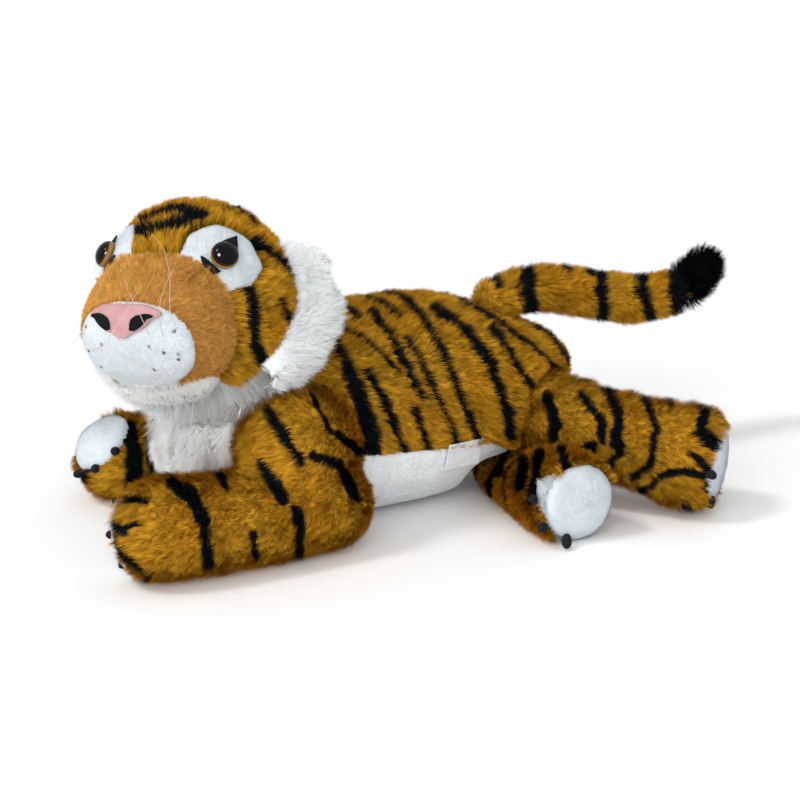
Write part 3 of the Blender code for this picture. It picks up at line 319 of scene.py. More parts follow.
def mottled(tree, shader, colour, scale, low, high):
    """Colour times a noise between low and high."""
    spread = tree.nodes.new("ShaderNodeMapRange")
    socket(spread, "From Min", NOISE_LOW)
    socket(spread, "From Max", NOISE_HIGH)
    socket(spread, "To Min", low)
    socket(spread, "To Max", high)
    tree.links.new(noise_output(tree, scale), spread.inputs["Value"])
    scaled = tree.nodes.new("ShaderNodeVectorMath")
    scaled.operation = "SCALE"
    if isinstance(colour, tuple):
        socket(scaled, 0, colour)
    else:
        tree.links.new(colour, scaled.inputs[0])
    tree.links.new(spread.outputs["Result"], scaled.inputs["Scale"])
    tree.links.new(scaled.outputs["Vector"], shader.inputs["Base Color"])


def bump(tree, shader, scale, strength, depth):
    lift = tree.nodes.new("ShaderNodeBump")
    socket(lift, "Strength", strength)
    socket(lift, "Distance", depth)
    tree.links.new(noise_output(tree, scale), lift.inputs["Height"])
    tree.links.new(lift.outputs["Normal"], shader.inputs["Normal"])


def make_materials():
    tree, shader = make_material("pile", roughness=0.85, specular=0.0, sheen=0.9)
    socket(shader, "Sheen Roughness", 0.40)
    tree.links.new(dye_output(tree), shader.inputs["Base Color"])
    tree.links.new(dye_output(tree), shader.inputs["Sheen Tint"])
    tree, shader = make_material("backing", roughness=0.95, specular=0.0)
    mottled(tree, shader, dye_output(tree), scale=300.0, low=0.94, high=1.03)
    bump(tree, shader, scale=1200.0, strength=0.35, depth=0.3 * MM)
    for name, colour, scale, roughness, sheen, relief in PLAIN_CLOTHS:
        tree, shader = make_material(name, roughness, CLOTH_SPECULAR, sheen)
        mottled(tree, shader, colour, scale, low=0.88, high=1.05)
        bump(tree, shader, scale * RELIEF_FINENESS, relief, RELIEF_DEPTH)
    tree, shader = make_material("hair_clear", roughness=0.25, specular=0.5)
    mottled(tree, shader, (0.66, 0.60, 0.50), scale=60.0, low=0.9, high=1.05)
    tree, shader = make_material("washer", roughness=0.4, specular=0.5)
    mottled(tree, shader, (0.60, 0.62, 0.66), scale=60.0, low=0.9, high=1.05)
    bump(tree, shader, scale=400.0, strength=0.2, depth=0.2 * MM)
    tree, shader = make_material("eye", roughness=0.06, specular=0.12)
    mottled(tree, shader, dye_output(tree), scale=900.0, low=0.85, high=1.15)
    tree, shader = make_material("floor", roughness=0.9, specular=0.0)
    path = tree.nodes.new("ShaderNodeLightPath")
    tone = tree.nodes.new("ShaderNodeMapRange")
    socket(tone, "To Min", FLOOR_SHADE)
    socket(tone, "To Max", FLOOR_TONE)
    tree.links.new(path.outputs["Is Camera Ray"], tone.inputs["Value"])
    tree.links.new(tone.outputs["Result"], shader.inputs["Base Color"])


# Forms

# Rounds that even out the line where two skins of one form meet
SEAM_ROUNDS = 3
# The stuffing is rounded and sunk this much
FIBRE_ROUNDS = 3
FIBRE_SINK = 4 * MM


def node_arrays(names):
    """The vertices and triangles of some CAD nodes, put together."""
    points = []
    faces = []
    count = 0
    for name in names:
        own, _, corners = mesh_arrays(NODES[name].data)
        points.append(own)
        faces.append(corners + count)
        count += len(own)
    return np.concatenate(points), np.concatenate(faces)


def mesh_arrays(mesh):
    """The vertices of a mesh, their normals, and its triangles."""
    points = np.empty(len(mesh.vertices) * 3)
    mesh.vertices.foreach_get("co", points)
    normals = np.empty(len(mesh.vertices) * 3)
    mesh.vertices.foreach_get("normal", normals)
    mesh.calc_loop_triangles()
    faces = np.empty(len(mesh.loop_triangles) * 3, dtype=np.int32)
    mesh.loop_triangles.foreach_get("vertices", faces)
    return points.reshape(-1, 3), normals.reshape(-1, 3), faces.reshape(-1, 3)


def new_mesh(name, points, faces):
    mesh = bpy.data.meshes.new(name)
    mesh.from_pydata([tuple(point) for point in points], [], [tuple(face) for face in faces])
    return mesh


def new_object(name, mesh):
    thing = bpy.data.objects.new(name, mesh)
    bpy.context.scene.collection.objects.link(thing)
    return thing


def evened(values, edges, rounds):
    """Values at the points of a mesh, moved half way to their neighbours' mean each round."""
    count = len(values)
    near = np.bincount(edges.reshape(-1), minlength=count)
    first, second = edges.T
    for _ in range(rounds):
        means = [(np.bincount(first, column[second], count)
                  + np.bincount(second, column[first], count)) / near for column in values.T]
        values = (values + np.stack(means, axis=1)) / 2
    return values


def node_gaps(points, names):
    """The distance from each point to each of some CAD nodes."""
    if len(names) == 1:
        return np.zeros((len(points), 1))
    trees = []
    for name in names:
        own, faces = node_arrays([name])
        trees.append(BVHTree.FromPolygons([tuple(point) for point in own],
                                          [tuple(face) for face in faces]))
    return np.array([[tree.find_nearest(Vector(point))[3] for tree in trees]
                     for point in points])


def rounded(name, names, inside, voxel, rounds, sinks):
    """One closed form round some nodes, smoothed, and sunk by each shown node's own depth.

    Gives the object and, for each of its points, the distances to the shown nodes.
    """
    points, faces = node_arrays(list(names) + list(inside))
    thing = new_object(name, new_mesh(name + "_coarse", points, faces))
    remesh = thing.modifiers.new("remesh", "REMESH")
    remesh.mode = "VOXEL"
    remesh.voxel_size = voxel
    deps = bpy.context.evaluated_depsgraph_get()
    whole = bpy.data.meshes.new_from_object(thing.evaluated_get(deps))
    thing.modifiers.clear()
    thing.data = whole
    edges = np.empty(len(whole.edges) * 2, dtype=np.int32)
    whole.edges.foreach_get("vertices", edges)
    edges = edges.reshape(-1, 2)
    points, _, _ = mesh_arrays(whole)
    gaps = evened(node_gaps(points, names), edges, SEAM_ROUNDS)
    whole.vertices.foreach_set("co", evened(points, edges, rounds).reshape(-1))
    whole.update()
    points, normals, _ = mesh_arrays(whole)
    depth = evened(np.array(sinks)[gaps.argmin(axis=1)][:, None], edges, SEAM_ROUNDS)
    whole.vertices.foreach_set("co", (points - normals * depth).reshape(-1))
    whole.update()
    whole.shade_smooth()
    return thing, gaps


# Dyes

# Smooth noise is a sum of waves whose pitch is this many times the size asked for
WAVE_COUNT = 10
WAVE_PITCH = (1.2, 3.0)
WAVE_SUM = 3.2
# How much the tiger fur's shade changes, and over what size, and how umber its gold gets
FUR_SHADES = ((0.10, 14 * MM), (0.06, 4 * MM))
UMBER_SIZE = 22 * MM
UMBER_SHARE = 0.6
PLAIN_SIZES = (9 * MM, 3 * MM)
# A stripe's edge, read off the photograph, is stirred over this size
STIR_SIZE = 6 * MM


def waves(points, size, seed, count=1):
    """Smooth noise between about -1 and 1, with bumps of about a size, count values a point."""
    rng = np.random.default_rng(seed)
    total = np.zeros((len(points), count))
    for _ in range(WAVE_COUNT):
        direction = rng.normal(size=(3, count))
        direction /= np.linalg.norm(direction, axis=0)
        pitch = size * rng.uniform(*WAVE_PITCH, size=count)
        phase = rng.uniform(0, 2 * math.pi, size=count)
        total += np.sin(points @ direction * (2 * math.pi / pitch) + phase)
    return total / WAVE_SUM


def stripe_share(points, stripes, seed, soft=1.4, shift=1.2):
    """How far each point is covered by stripes: 1 inside one, and 0 clear of all."""
    places = picture_places(points)
    places = places + waves(points, STIR_SIZE, seed, 2) * shift
    cover = np.zeros(len(points))
    for width, *line in stripes:
        best = np.full(len(points), np.inf)
        for start, end in zip(line, line[1:]):
            start = np.array(start, float)
            along = np.array(end, float) - start
            share = np.clip(((places - start) @ along) / max(along @ along, 1e-9), 0, 1)
            away = places - start - share[:, None] * along
            best = np.minimum(best, np.hypot(away[:, 0], away[:, 1]))
        cover = np.maximum(cover, np.clip((width / 2 - best) / soft + 0.5, 0, 1))
    return cover


def on_band(along, pitch, width):
    """Whether places along a line fall on a band in the middle of each pitch."""
    return np.abs(along % pitch - pitch / 2) < width / 2


def mix(first, second, share):
    share = np.asarray(share)[:, None]
    return np.asarray(first) * (1 - share) + np.asarray(second) * share


def shaded(points, shares, seed):
    """A shade near 1 that changes by each share over its size."""
    shade = 1
    for number, (share, size) in enumerate(shares):
        shade = shade + share * waves(points, size, seed + number)
    return shade


def tiger_dye(points, cover, seed):
    """Golden brown with slow changes of shade, under dark stripes."""
    umber = np.clip(0.5 + 0.5 * waves(points, UMBER_SIZE, seed + 2)[:, 0], 0, 1) * UMBER_SHARE
    return mix(mix(GOLD, UMBER, umber) * shaded(points, FUR_SHADES, seed), STRIPE, cover)


def striped(stripes, seed):
    return lambda points: tiger_dye(points, stripe_share(points, stripes, seed), seed + 1)


def torso_dye(points):
    """The unseen side takes the pattern of the side in view, and the rump has bands across."""
    turned = points.copy()
    turned[:, 1] = -np.abs(turned[:, 1])
    cover = stripe_share(turned, TORSO_STRIPES, 11)
    core = np.tile(TORSO_FRONT, (len(points), 1))
    core[:, 0] = np.clip(turned[:, 0], TORSO_FRONT[0], TORSO_REAR)
    rump = unit(turned - core) @ BACK < RUMP_FACING
    pitch, width, waver = RUMP_BANDS
    bands = on_band(points[:, 2] + waver * waves(points, WAVER, 13)[:, 0], pitch, width)
    return tiger_dye(points, np.where(rump, bands, cover), 12)


def to_head(points):
    return (points - HEAD_CENTRE) @ HEAD_AXES.T


def from_head(places):
    return places @ HEAD_AXES + HEAD_CENTRE


def from_top(places):
    """How many degrees round from the top of the head its places lie, either way."""
    return np.degrees(np.arctan2(np.abs(places[:, 1]), places[:, 2]))


def behind_ruff(points):
    """How far each point of the head lies behind the ruff's inner edge."""
    places = to_head(points)
    return np.interp(from_top(places), *RUFF_EDGE) * MM - places[:, 0]


def off_throat(points):
    """Whether points of the head lie clear of the white throat."""
    places = to_head(points)
    return (from_top(places) < THROAT_ANGLE) | (places[:, 0] < -NAPE)


def crown_front(points):
    """The face side of the ruff's edge, and the nape."""
    depth = behind_ruff(points)
    return (depth < 0) | ((depth > RUFF_BREADTH) & off_throat(points))


def low_throat(points):
    """The underside of the head behind the chin."""
    return ~off_throat(points) & ~crown_front(points)


def crown_dye(points):
    """The far side takes the pattern of the side in view, and the back of the head has rings."""
    places = to_head(points)
    unseen = (points - HEAD_CENTRE) @ BACK < 0
    places[:, 1] = np.where(unseen, np.abs(places[:, 1]), places[:, 1])
    folded = from_head(places)
    cover = stripe_share(folded, HEAD_STRIPES, 21)
    around = np.degrees(np.arctan2(-places[:, 0], places[:, 2]))
    aside = np.abs(places[:, 1])
    hidden = (unit(folded - HEAD_CENTRE) @ BACK < NAPE_FACING) & (aside < NAPE_REACH)
    pitch, width, waver = NAPE_RINGS
    rings = on_band(around + waver * waves(points, WAVER, 23)[:, 0], pitch, width)
    cover = np.where(hidden, rings & (aside < NAPE_HALF_WIDTH), cover)
    return tiger_dye(points, cover, 24)


def banded(stripes, axis, start, pitch, width, seed):
    """Stripes read off the photograph, and rings across an axis where it doesn't show the piece."""
    def dye(points):
        seen = stripe_share(points, stripes, seed)
        along = points[:, axis] + RING_WAVER * waves(points, WAVER, seed + 1)[:, 0]
        rings = (along > start) & on_band(along - start, pitch, width)
        return tiger_dye(points, np.maximum(seen, rings), seed + 2)
    return dye


def inside_outline(points, outline):
    """Whether points fall inside an outline of the photograph."""
    across, down = picture_places(points).T
    inside = np.zeros(len(points), dtype=bool)
    for (x0, y0), (x1, y1) in zip(outline, outline[1:] + outline[:1]):
        if y0 != y1:
            crossed = (down > min(y0, y1)) & (down <= max(y0, y1))
            inside ^= crossed & (across < x0 + (down - y0) * (x1 - x0) / (y1 - y0))
    return inside


def outside(zone):
    return lambda points: ~zone(points)


def on_chest(points):
    return inside_outline(points, CHEST) & ((points - CHEST_MIDDLE) @ BACK > 0)


def on_far_hind_sole(points):
    middle = np.mean(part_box("sole_hind_right"), axis=0) @ BACK
    return inside_outline(points, FAR_HIND_SOLE) & (points @ BACK > middle - FAR_HIND_SOLE_REACH)


def plain_dye(colour, seed, spread=0.02):
    """One colour with small changes of shade."""
    shares = [(spread, size) for size in PLAIN_SIZES]
    return lambda points: np.asarray(colour) * shaded(points, shares, seed)


# Tan, with a painted shadow along the crease between the bridge and the cheek
def tan_with_crease_shadow(points):
    crease_shadow_share = stripe_share(points, TAN_CREASE_SHADOW_LINES, 121, soft=3.0) * TAN_CREASE_SHADOW_STRENGTH
    return mix(plain_dye(TAN, 122, 0.04)(points), CREASE_SHADOW, crease_shadow_share)


def dotted_dye(points):
    """White with the small dark dots that the whiskers stand in."""
    places = to_head(points)
    away = np.linalg.norm(places[:, None, 1:] - DOTS[None], axis=2).min(axis=1)
    cover = np.clip((DOT_RADIUS - away) / DOT_EDGE + 0.5, 0, 1) * (places[:, 0] > DOT_AHEAD)
    return mix(plain_dye(WHITE, 123)(points), STRIPE, cover * DOT_SHADE)


def neck_dye(points):
    """Tiger fur at the nape, and white at the throat and under the ruff."""
    nape = np.clip((behind_ruff(points) - NECK_WHITE) / NECK_FADE, 0, 1) * off_throat(points)
    return mix(IVORY, tiger_dye(points, np.zeros(len(points)), 61), nape)


# Pile

# The pile of the head lies away from this far ahead of its middle, and hangs at the throat
COMB_START = 90 * MM
THROAT_HANG = np.array((0, 0, -0.9))


def unit(vectors):
    return vectors / np.maximum(np.linalg.norm(vectors, axis=1, keepdims=True), 1e-9)


def toward(*direction):
    """A comb that lays the pile one way."""
    return lambda points: np.tile(np.array(direction, float), (len(points), 1))


def comb_head(points):
    """Away from the nose."""
    places = to_head(points)
    places[:, 0] -= COMB_START
    return places @ HEAD_AXES


def comb_throat(points):
    """Away from the nose, and hanging."""
    return unit(comb_head(points)) + THROAT_HANG


# Hairs a square metre, length, width, lift at the root and at the tip in degrees, untidiness,
# pull toward the clump, scatter and roundness of the shading, depth of the cloth below the
# solid's face, change of shade from hair to hair, painted shade and light at root, middle and
# tip (dark roots where hairs shadow each other, light tips), and painted shade of the cloth behind
Pile = namedtuple("Pile", "density length width root_lift tip_lift untidy clump rough curve"
                          " sink vary shades backing")
PILE = {
    "tiger": Pile(3.0e6, 7.0 * MM, 0.28 * MM, 60, 34, 0.50, 0.42, 0.34, 0.7, 3.0 * MM, 0.20,
                  (0.50, 0.97, 1.38), 0.75),
    "white": Pile(3.8e6, 0.8 * MM, 0.34 * MM, 30, 12, 0.30, 0.00, 0.00, 0.0, 0.4 * MM, 0.006,
                  (0.99, 1.0, 1.0), 1.0),
    "tan": Pile(3.2e6, 3.4 * MM, 0.28 * MM, 54, 28, 0.45, 0.25, 0.18, 0.5, 1.6 * MM, 0.09,
                (0.70, 0.98, 1.20), 0.85),
    "plush": Pile(2.4e6, 4.5 * MM, 0.32 * MM, 58, 30, 0.70, 0.20, 0.06, 0.2, 2.0 * MM, 0.01,
                  (0.95, 1.0, 1.03), 0.98),
    "long": Pile(2.4e6, 9 * MM, 0.30 * MM, 50, 18, 0.45, 0.20, 0.06, 0.2, 4.0 * MM, 0.01,
                 (0.95, 1.0, 1.02), 0.98),
    "fringe": Pile(1.8e6, 15 * MM, 0.32 * MM, 72, 66, 0.60, 0.20, 0.06, 0.2, 3.0 * MM, 0.01,
                   (0.97, 1.0, 1.02), 0.98),
    "bib": Pile(2.6e6, 10 * MM, 0.30 * MM, 54, 24, 0.80, 0.30, 0.08, 0.2, 0.8 * MM, 0.015,
                (0.98, 1.0, 1.02), 1.0),
    "tuft": Pile(2.4e6, 10 * MM, 0.36 * MM, 50, 24, 0.60, 0.35, 0.25, 0.5, 4.0 * MM, 0.20,
                 (0.70, 0.95, 1.20), 0.60),
}
# Hairs in a clump, hairs in a mesh, and how far the hairs stay above the ground
CLUMP_SIZE = 14
MESH_HAIRS = 60000
FLOOR_GAP = 0.3 * MM
# How a hair's lie, lift and height change over a size and from hair to hair. Lift is in degrees
LIE_SIZE, LIE_SLOW, LIE_FAST = 10 * MM, 0.6, 0.55
LIFT_SIZE, LIFT_SLOW, LIFT_FAST = 7 * MM, 9, 11
HEIGHT_SIZE, HEIGHT_SLOW, HEIGHT_FAST = 9 * MM, 0.10, 0.16
HEIGHT_LIMITS = (0.45, 1.5)
ROOT_LIMITS = (12, 88)
TIP_LIMITS = (4, 84)
WIDTH_LIMITS = (0.75, 1.2)
# A hair's breadth at its middle, and how much of the pull its middle feels
MIDDLE_BREADTH = 0.85
MIDDLE_PULL = 0.45
# Where along a hair its colour is read, so that the stripes' edges are soft
DYE_LIMITS = (0.35, 0.75)
# The shading leans with the hair, and is stirred more from hair to hair than from clump to clump
SHADING_LEAN = 0.3
SHADING_FAST = 1.6
VARY_FAST = 0.6

# A hair is a quad and a tip: its points at the root, the middle and the tip, as its faces use
# them, and their places on the map
HAIR_CORNERS = np.array((0, 3, 2, 1, 3, 4, 2))
HAIR_FACES = np.array((0, 4))
HAIR_MAP = np.array(((-1, -1), (1, -1), (0.8, 0.4), (-0.8, 0.4), (0, 1.4))) * 0.002
MAP_EDGE = 0.01

# One kind of pile on one cloth: its dye and comb, its share of the density, and where it grows
Cover = namedtuple("Cover", "kind dye comb seed share zone", defaults=(1.0, None))
Cloth = namedtuple("Cloth", "node slot covers")

# Balls that the pile of a piece stays out of: centre and radius
KEEP_OUT = {
    "back_fur": ((HEAD_CENTRE, 64.5 * MM), ((-0.076, -0.062, 0.060), 39.5 * MM),
                 ((-0.076, 0.062, 0.060), 39.5 * MM), ((0.112, -0.046, 0.052), 28.5 * MM),
                 ((0.100, 0.0, 0.1167), 16.5 * MM)),
}


def scatter(mesh, gaps, index, density, seed):
    """Random points on the part of a mesh that lies nearest to one node, with their normals."""
    points, normals, faces = mesh_arrays(mesh)
    faces = faces[(gaps.argmin(axis=1)[faces] == index).any(axis=1)]
    corners = points[faces]
    sides = corners[:, 1:] - corners[:, :1]
    areas = np.linalg.norm(np.cross(sides[:, 0], sides[:, 1]), axis=1) / 2
    rng = np.random.default_rng(seed)
    count = int(areas.sum() * density)
    chosen = rng.choice(len(faces), size=count, p=areas / areas.sum())
    shares = rng.random((count, 2))
    over = shares.sum(axis=1) > 1
    shares[over] = 1 - shares[over]
    weights = np.stack((1 - shares.sum(axis=1), shares[:, 0], shares[:, 1]), axis=1)[:, :, None]
    own = (gaps[faces[chosen]] * weights).sum(axis=1).argmin(axis=1) == index
    places = (corners[chosen] * weights).sum(axis=1)
    lean = unit((normals[faces[chosen]] * weights).sum(axis=1))
    return places[own], lean[own]


def clumped(roots, middles, tips, pull, seed):
    """Hairs drawn toward a few guides among them, and the guide that each one follows."""
    rng = np.random.default_rng(seed)
    guides = rng.choice(len(roots), size=max(1, len(roots) // CLUMP_SIZE), replace=False)
    tree = KDTree(len(guides))
    for number, guide in enumerate(guides):
        tree.insert(roots[guide], number)
    tree.balance()
    lead = np.array([tree.find(root)[1] for root in roots])
    middles = middles + (middles[guides][lead] - middles) * (pull * MIDDLE_PULL)
    tips = tips + (tips[guides][lead] - tips) * pull
    return middles, tips, lead


def add_pile(name, body, whole, gaps, index, cover, keep_out):
    """Tapered hairs over a skin, each with the colour that its place has."""
    pile = PILE[cover.kind]
    seed = cover.seed
    roots, normals = scatter(whole, gaps, index, pile.density * cover.share, seed)
    clear = np.ones(len(roots), dtype=bool)
    for centre, radius in keep_out:
        clear &= np.linalg.norm(roots - np.array(centre), axis=1) > radius
    if cover.zone:
        clear &= cover.zone(roots)
    roots, normals = roots[clear], normals[clear]
    rng = np.random.default_rng(seed + 1)
    count = len(roots)

    lie = cover.comb(roots)
    lie = lie - normals * (lie * normals).sum(axis=1, keepdims=True)
    lie = unit(lie) + pile.untidy * waves(roots, LIE_SIZE, seed + 2, 3) * LIE_SLOW
    lie = lie + pile.untidy * LIE_FAST * rng.normal(size=(count, 3))
    lie = unit(lie - normals * (lie * normals).sum(axis=1, keepdims=True))
    lift = rng.normal(scale=LIFT_FAST, size=count)
    lift = lift + LIFT_SLOW * waves(roots, LIFT_SIZE, seed + 3)[:, 0]
    tall = 1 + HEIGHT_FAST * rng.normal(size=count)
    tall = tall + HEIGHT_SLOW * waves(roots, HEIGHT_SIZE, seed + 4)[:, 0]
    tall = (pile.length * np.clip(tall, *HEIGHT_LIMITS))[:, None]
    low = np.radians(np.clip(pile.root_lift + lift, *ROOT_LIMITS))[:, None]
    high = np.radians(np.clip(pile.tip_lift + lift, *TIP_LIMITS))[:, None]
    end = lie * np.cos(high) + normals * np.sin(high)
    middles = roots + (lie * np.cos(low) + normals * np.sin(low)) * tall / 2
    tips = middles + end * tall / 2
    lead = np.arange(count)
    if pile.clump:
        middles, tips, lead = clumped(roots, middles, tips, pile.clump, seed + 5)
    tint = VARY_FAST * rng.normal(size=count) + rng.normal(size=count)[lead]
    tint = 1 + pile.vary * tint[:, None]
    breadth = pile.width * rng.uniform(*WIDTH_LIMITS, size=count)
    half = np.cross(normals, lie) * (breadth / 2)[:, None]
    waist = half * MIDDLE_BREADTH
    points = np.stack((roots - half, roots + half, middles + waist, middles - waist, tips), axis=1)
    points[:, :, 2] = np.maximum(points[:, :, 2], FLOOR_GAP)

    hue = cover.dye(roots + (tips - roots) * rng.uniform(*DYE_LIMITS, size=(count, 1))) * tint
    # Painted shade and light along each hair: darker at the root, lighter at the tip
    shades = np.array(pile.shades)[[0, 0, 1, 1, 2]]
    colours = np.clip(hue[:, None, :] * shades[None, :, None], 0, 1)
    stir = rng.normal(size=(count, 3))[lead] + SHADING_FAST * rng.normal(size=(count, 3))
    soft = unit(normals + end * SHADING_LEAN + pile.rough * stir)
    bent = unit(half) * pile.curve
    one, other = unit(soft - bent), unit(soft + bent)
    soft = np.stack((one, other, other, one, soft), axis=1)

    middle = roots.mean(axis=0)
    few = (roots - middle)[:: max(1, count // 2000)]
    _, _, axes = np.linalg.svd(few, full_matrices=False)
    order = np.argsort((roots - middle) @ axes[0])
    for number, rows in enumerate(np.array_split(order, -(-count // MESH_HAIRS))):
        hairs_mesh("%s_%d" % (name, number + 1), body, points[rows], colours[rows],
                   soft[rows], (roots[rows] - middle) @ axes.T)


def hairs_mesh(name, body, points, colours, soft, local):
    """One mesh of hairs, with their colours, shading and places on the map."""
    count = len(points)
    mesh = bpy.data.meshes.new(name)
    number = np.arange(count)[:, None]
    loops = (number * 5 + HAIR_CORNERS).reshape(-1).astype(np.int32)
    starts = (number * len(HAIR_CORNERS) + HAIR_FACES).reshape(-1).astype(np.int32)
    mesh.vertices.add(count * 5)
    mesh.vertices.foreach_set("co", points.reshape(-1).astype(np.float32))
    mesh.loops.add(len(loops))
    mesh.loops.foreach_set("vertex_index", loops)
    mesh.polygons.add(len(starts))
    mesh.polygons.foreach_set("loop_start", starts)
    mesh.update(calc_edges=True)
    mesh.shade_smooth()
    set_dye(mesh, colours.reshape(-1, 3))
    # Each hair has a small place on the map, near those of its neighbours on the cloth
    around = np.arctan2(local[:, 2], local[:, 1]) / (2 * math.pi) + 0.5
    along = (local[:, 0] - local[:, 0].min()) / max(np.ptp(local[:, 0]), 1e-6)
    centre = MAP_EDGE + (1 - 2 * MAP_EDGE) * np.stack((around, along), axis=1)
    places = (centre[:, None, :] + HAIR_MAP[None])[:, HAIR_CORNERS]
    uv = mesh.uv_layers.new(name="OFBake")
    uv.data.foreach_set("uv", places.reshape(-1).astype(np.float32))
    mesh.normals_split_custom_set_from_vertices(soft.reshape(-1, 3).tolist())
    mesh.materials.append(MATERIAL["pile"])
    place(new_object(name, mesh), body)


def set_dye(mesh, colours):
    layer = mesh.color_attributes.new("dye", "FLOAT_COLOR", "POINT")
    values = np.concatenate((colours, np.ones((len(colours), 1))), axis=1)
    layer.data.foreach_set("color", values.reshape(-1))


# Sewn pieces

def part_of(name, whole, owner, index):
    """The faces of a form that belong to one node."""
    shape = bmesh.new()
    shape.from_mesh(whole.data)
    others = [face for face in shape.faces if owner[face.index] != index]
    bmesh.ops.delete(shape, geom=others, context="FACES")
    mesh = bpy.data.meshes.new(name)
    shape.to_mesh(mesh)
    shape.free()
    mesh.shade_smooth()
    return new_object(name, mesh)


def place(thing, body, nodes=()):
    """Say what a piece rides on, and hide the nodes that it replaces."""
    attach(thing, body)
    if nodes:
        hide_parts(*nodes)


def cloth_form(base, body, cloths, inside, voxel, rounds):
    """The skins and pile of one stuffed form, with its stuffing inside."""
    kinds = [PILE[cloth.covers[0].kind] for cloth in cloths]
    whole, gaps = rounded(base, [cloth.node for cloth in cloths], inside, voxel, rounds,
                          [kind.sink for kind in kinds])
    owner = [int(gaps[list(face.vertices)].mean(axis=0).argmin())
             for face in whole.data.polygons]
    for index, cloth in enumerate(cloths):
        skin = part_of(cloth.node + "_cloth", whole, owner, index)
        points, _, _ = mesh_arrays(skin.data)
        hue = cloth.covers[0].dye(points)
        for cover in cloth.covers[1:]:
            hue = np.where(cover.zone(points)[:, None], cover.dye(points), hue)
        # The cloth under the pile is darkened by its kind's painted shade, as if the pile shadowed
        # it
        set_dye(skin.data, np.clip(hue * kinds[index].backing, 0, 1))
        skin.data.materials.clear()
        skin.data.materials.append(MATERIAL["backing"])
        place(skin, body, [cloth.node])
        for number, cover in enumerate(cloth.covers):
            add_pile("%s_pile%d" % (cloth.node, number + 1), body, whole.data, gaps,
                     index, cover, KEEP_OUT.get(cloth.node, ()))
    for node in inside:
        core, _ = rounded(node + "_fibre", [node], (), voxel * 2, FIBRE_ROUNDS, [FIBRE_SINK])
        core.data.materials.clear()
        core.data.materials.append(MATERIAL["filling"])
        place(core, body, [node])
    bpy.data.objects.remove(whole)


def soft_piece(node, body, material, voxel, rounds):
    """A small sewn piece, rounded from its solid."""
    thing, _ = rounded(node + "_soft", [node], (), voxel, rounds, [0])
    thing.data.materials.clear()
    thing.data.materials.append(MATERIAL[material])
    place(thing, body, [node])


# Eyes and whiskers

def eye_colour(share, index):
    """The pupil, the dark amber ring with fine rays, and the golden rim."""
    if share < PUPIL_REACH:
        return PUPIL
    if share < AMBER_REACH:
        ray = 0.85 + 0.3 * math.sin(index * 7.3) * math.sin(index * 3.1)
        return tuple(part * ray for part in AMBER)
    return EYE_GOLD


def build_eye(side, mirror):
    """A glossy domed eye on its place on the skull."""
    ahead = FACE_DEPTH * math.sqrt(1 - (EYE_SPREAD ** 2 + EYE_RISE ** 2) / SKULL ** 2)
    centre = np.array((ahead, mirror * EYE_SPREAD, EYE_RISE))
    normal = unit((centre / np.array((FACE_DEPTH, SKULL, SKULL)) ** 2)[None])[0]
    across = unit(np.cross(normal, (0, 0, 1.0))[None])[0]
    rise = np.cross(across, normal)
    profile = [(EYE_RADIUS * EYE_RIM_SHARE, -EYE_RIM)]
    for ring in range(EYE_RINGS):
        angle = math.pi / 2 * ring / EYE_RINGS
        profile.append((EYE_RADIUS * math.cos(angle), EYE_RIM + EYE_DOME * math.sin(angle)))
    verts = []
    colours = []
    for distance, height in profile:
        for index in range(EYE_SIDES):
            angle = 2 * math.pi * index / EYE_SIDES
            outward = across * math.cos(angle) + rise * math.sin(angle)
            verts.append(centre + outward * distance + normal * height)
            colours.append(eye_colour(distance / EYE_RADIUS, index))
    verts += [centre + normal * (EYE_RIM + EYE_DOME), centre - normal * EYE_RIM]
    colours += [eye_colour(0, 0), eye_colour(1, 0)]
    top = len(profile) * EYE_SIDES
    last = top - EYE_SIDES
    faces = tube_faces(len(profile), EYE_SIDES)
    for index in range(EYE_SIDES):
        after = (index + 1) % EYE_SIDES
        faces.append((last + index, last + after, top))
        faces.append((after, index, top + 1))
    mesh = new_mesh("eye_dome_" + side, from_head(np.array(verts)), faces)
    mesh.shade_smooth()
    set_dye(mesh, np.array(colours))
    mesh.materials.append(MATERIAL["eye"])
    place(new_object("eye_dome_" + side, mesh), "head", ["eye_" + side])


def tube_faces(rings, sides):
    """The quads between rings of points."""
    faces = []
    for low in range(0, (rings - 1) * sides, sides):
        for index in range(sides):
            after = (index + 1) % sides
            faces.append((low + index, low + after, low + sides + after, low + sides + index))
    return faces


def build_hair(name, shares, nodes):
    """A fine hair along a smooth curve, thinner at its tip."""
    stops = np.array(shares) * MUZZLE_TIP
    at = np.linspace(0, len(stops) - 1, HAIR_STEPS)
    line = np.stack([np.interp(at, range(len(stops)), column) for column in stops.T], axis=1)
    for _ in range(4):
        line[1:-1] = (line[:-2] + 2 * line[1:-1] + line[2:]) / 4
    along = unit(np.gradient(line, axis=0))
    across = unit(np.cross(along, (0, 1.0, 0)))
    rise = np.cross(along, across)
    radius = HAIR_RADIUS * np.linspace(1, HAIR_TIP_SHARE, HAIR_STEPS)[:, None, None]
    angle = np.arange(HAIR_SIDES) * 2 * math.pi / HAIR_SIDES
    ring = (across[:, None] * np.cos(angle)[None, :, None]
            + rise[:, None] * np.sin(angle)[None, :, None])
    verts = (line[:, None] + ring * radius).reshape(-1, 3)
    last = (HAIR_STEPS - 1) * HAIR_SIDES
    faces = [tuple(range(HAIR_SIDES)), tuple(reversed(range(last, last + HAIR_SIDES)))]
    faces += [face[::-1] for face in tube_faces(HAIR_STEPS, HAIR_SIDES)]
    mesh = new_mesh(name, from_head(verts), faces)
    mesh.shade_smooth()
    mesh.materials.append(MATERIAL["hair_clear"])
    place(new_object(name, mesh), "head", nodes)


# The toy

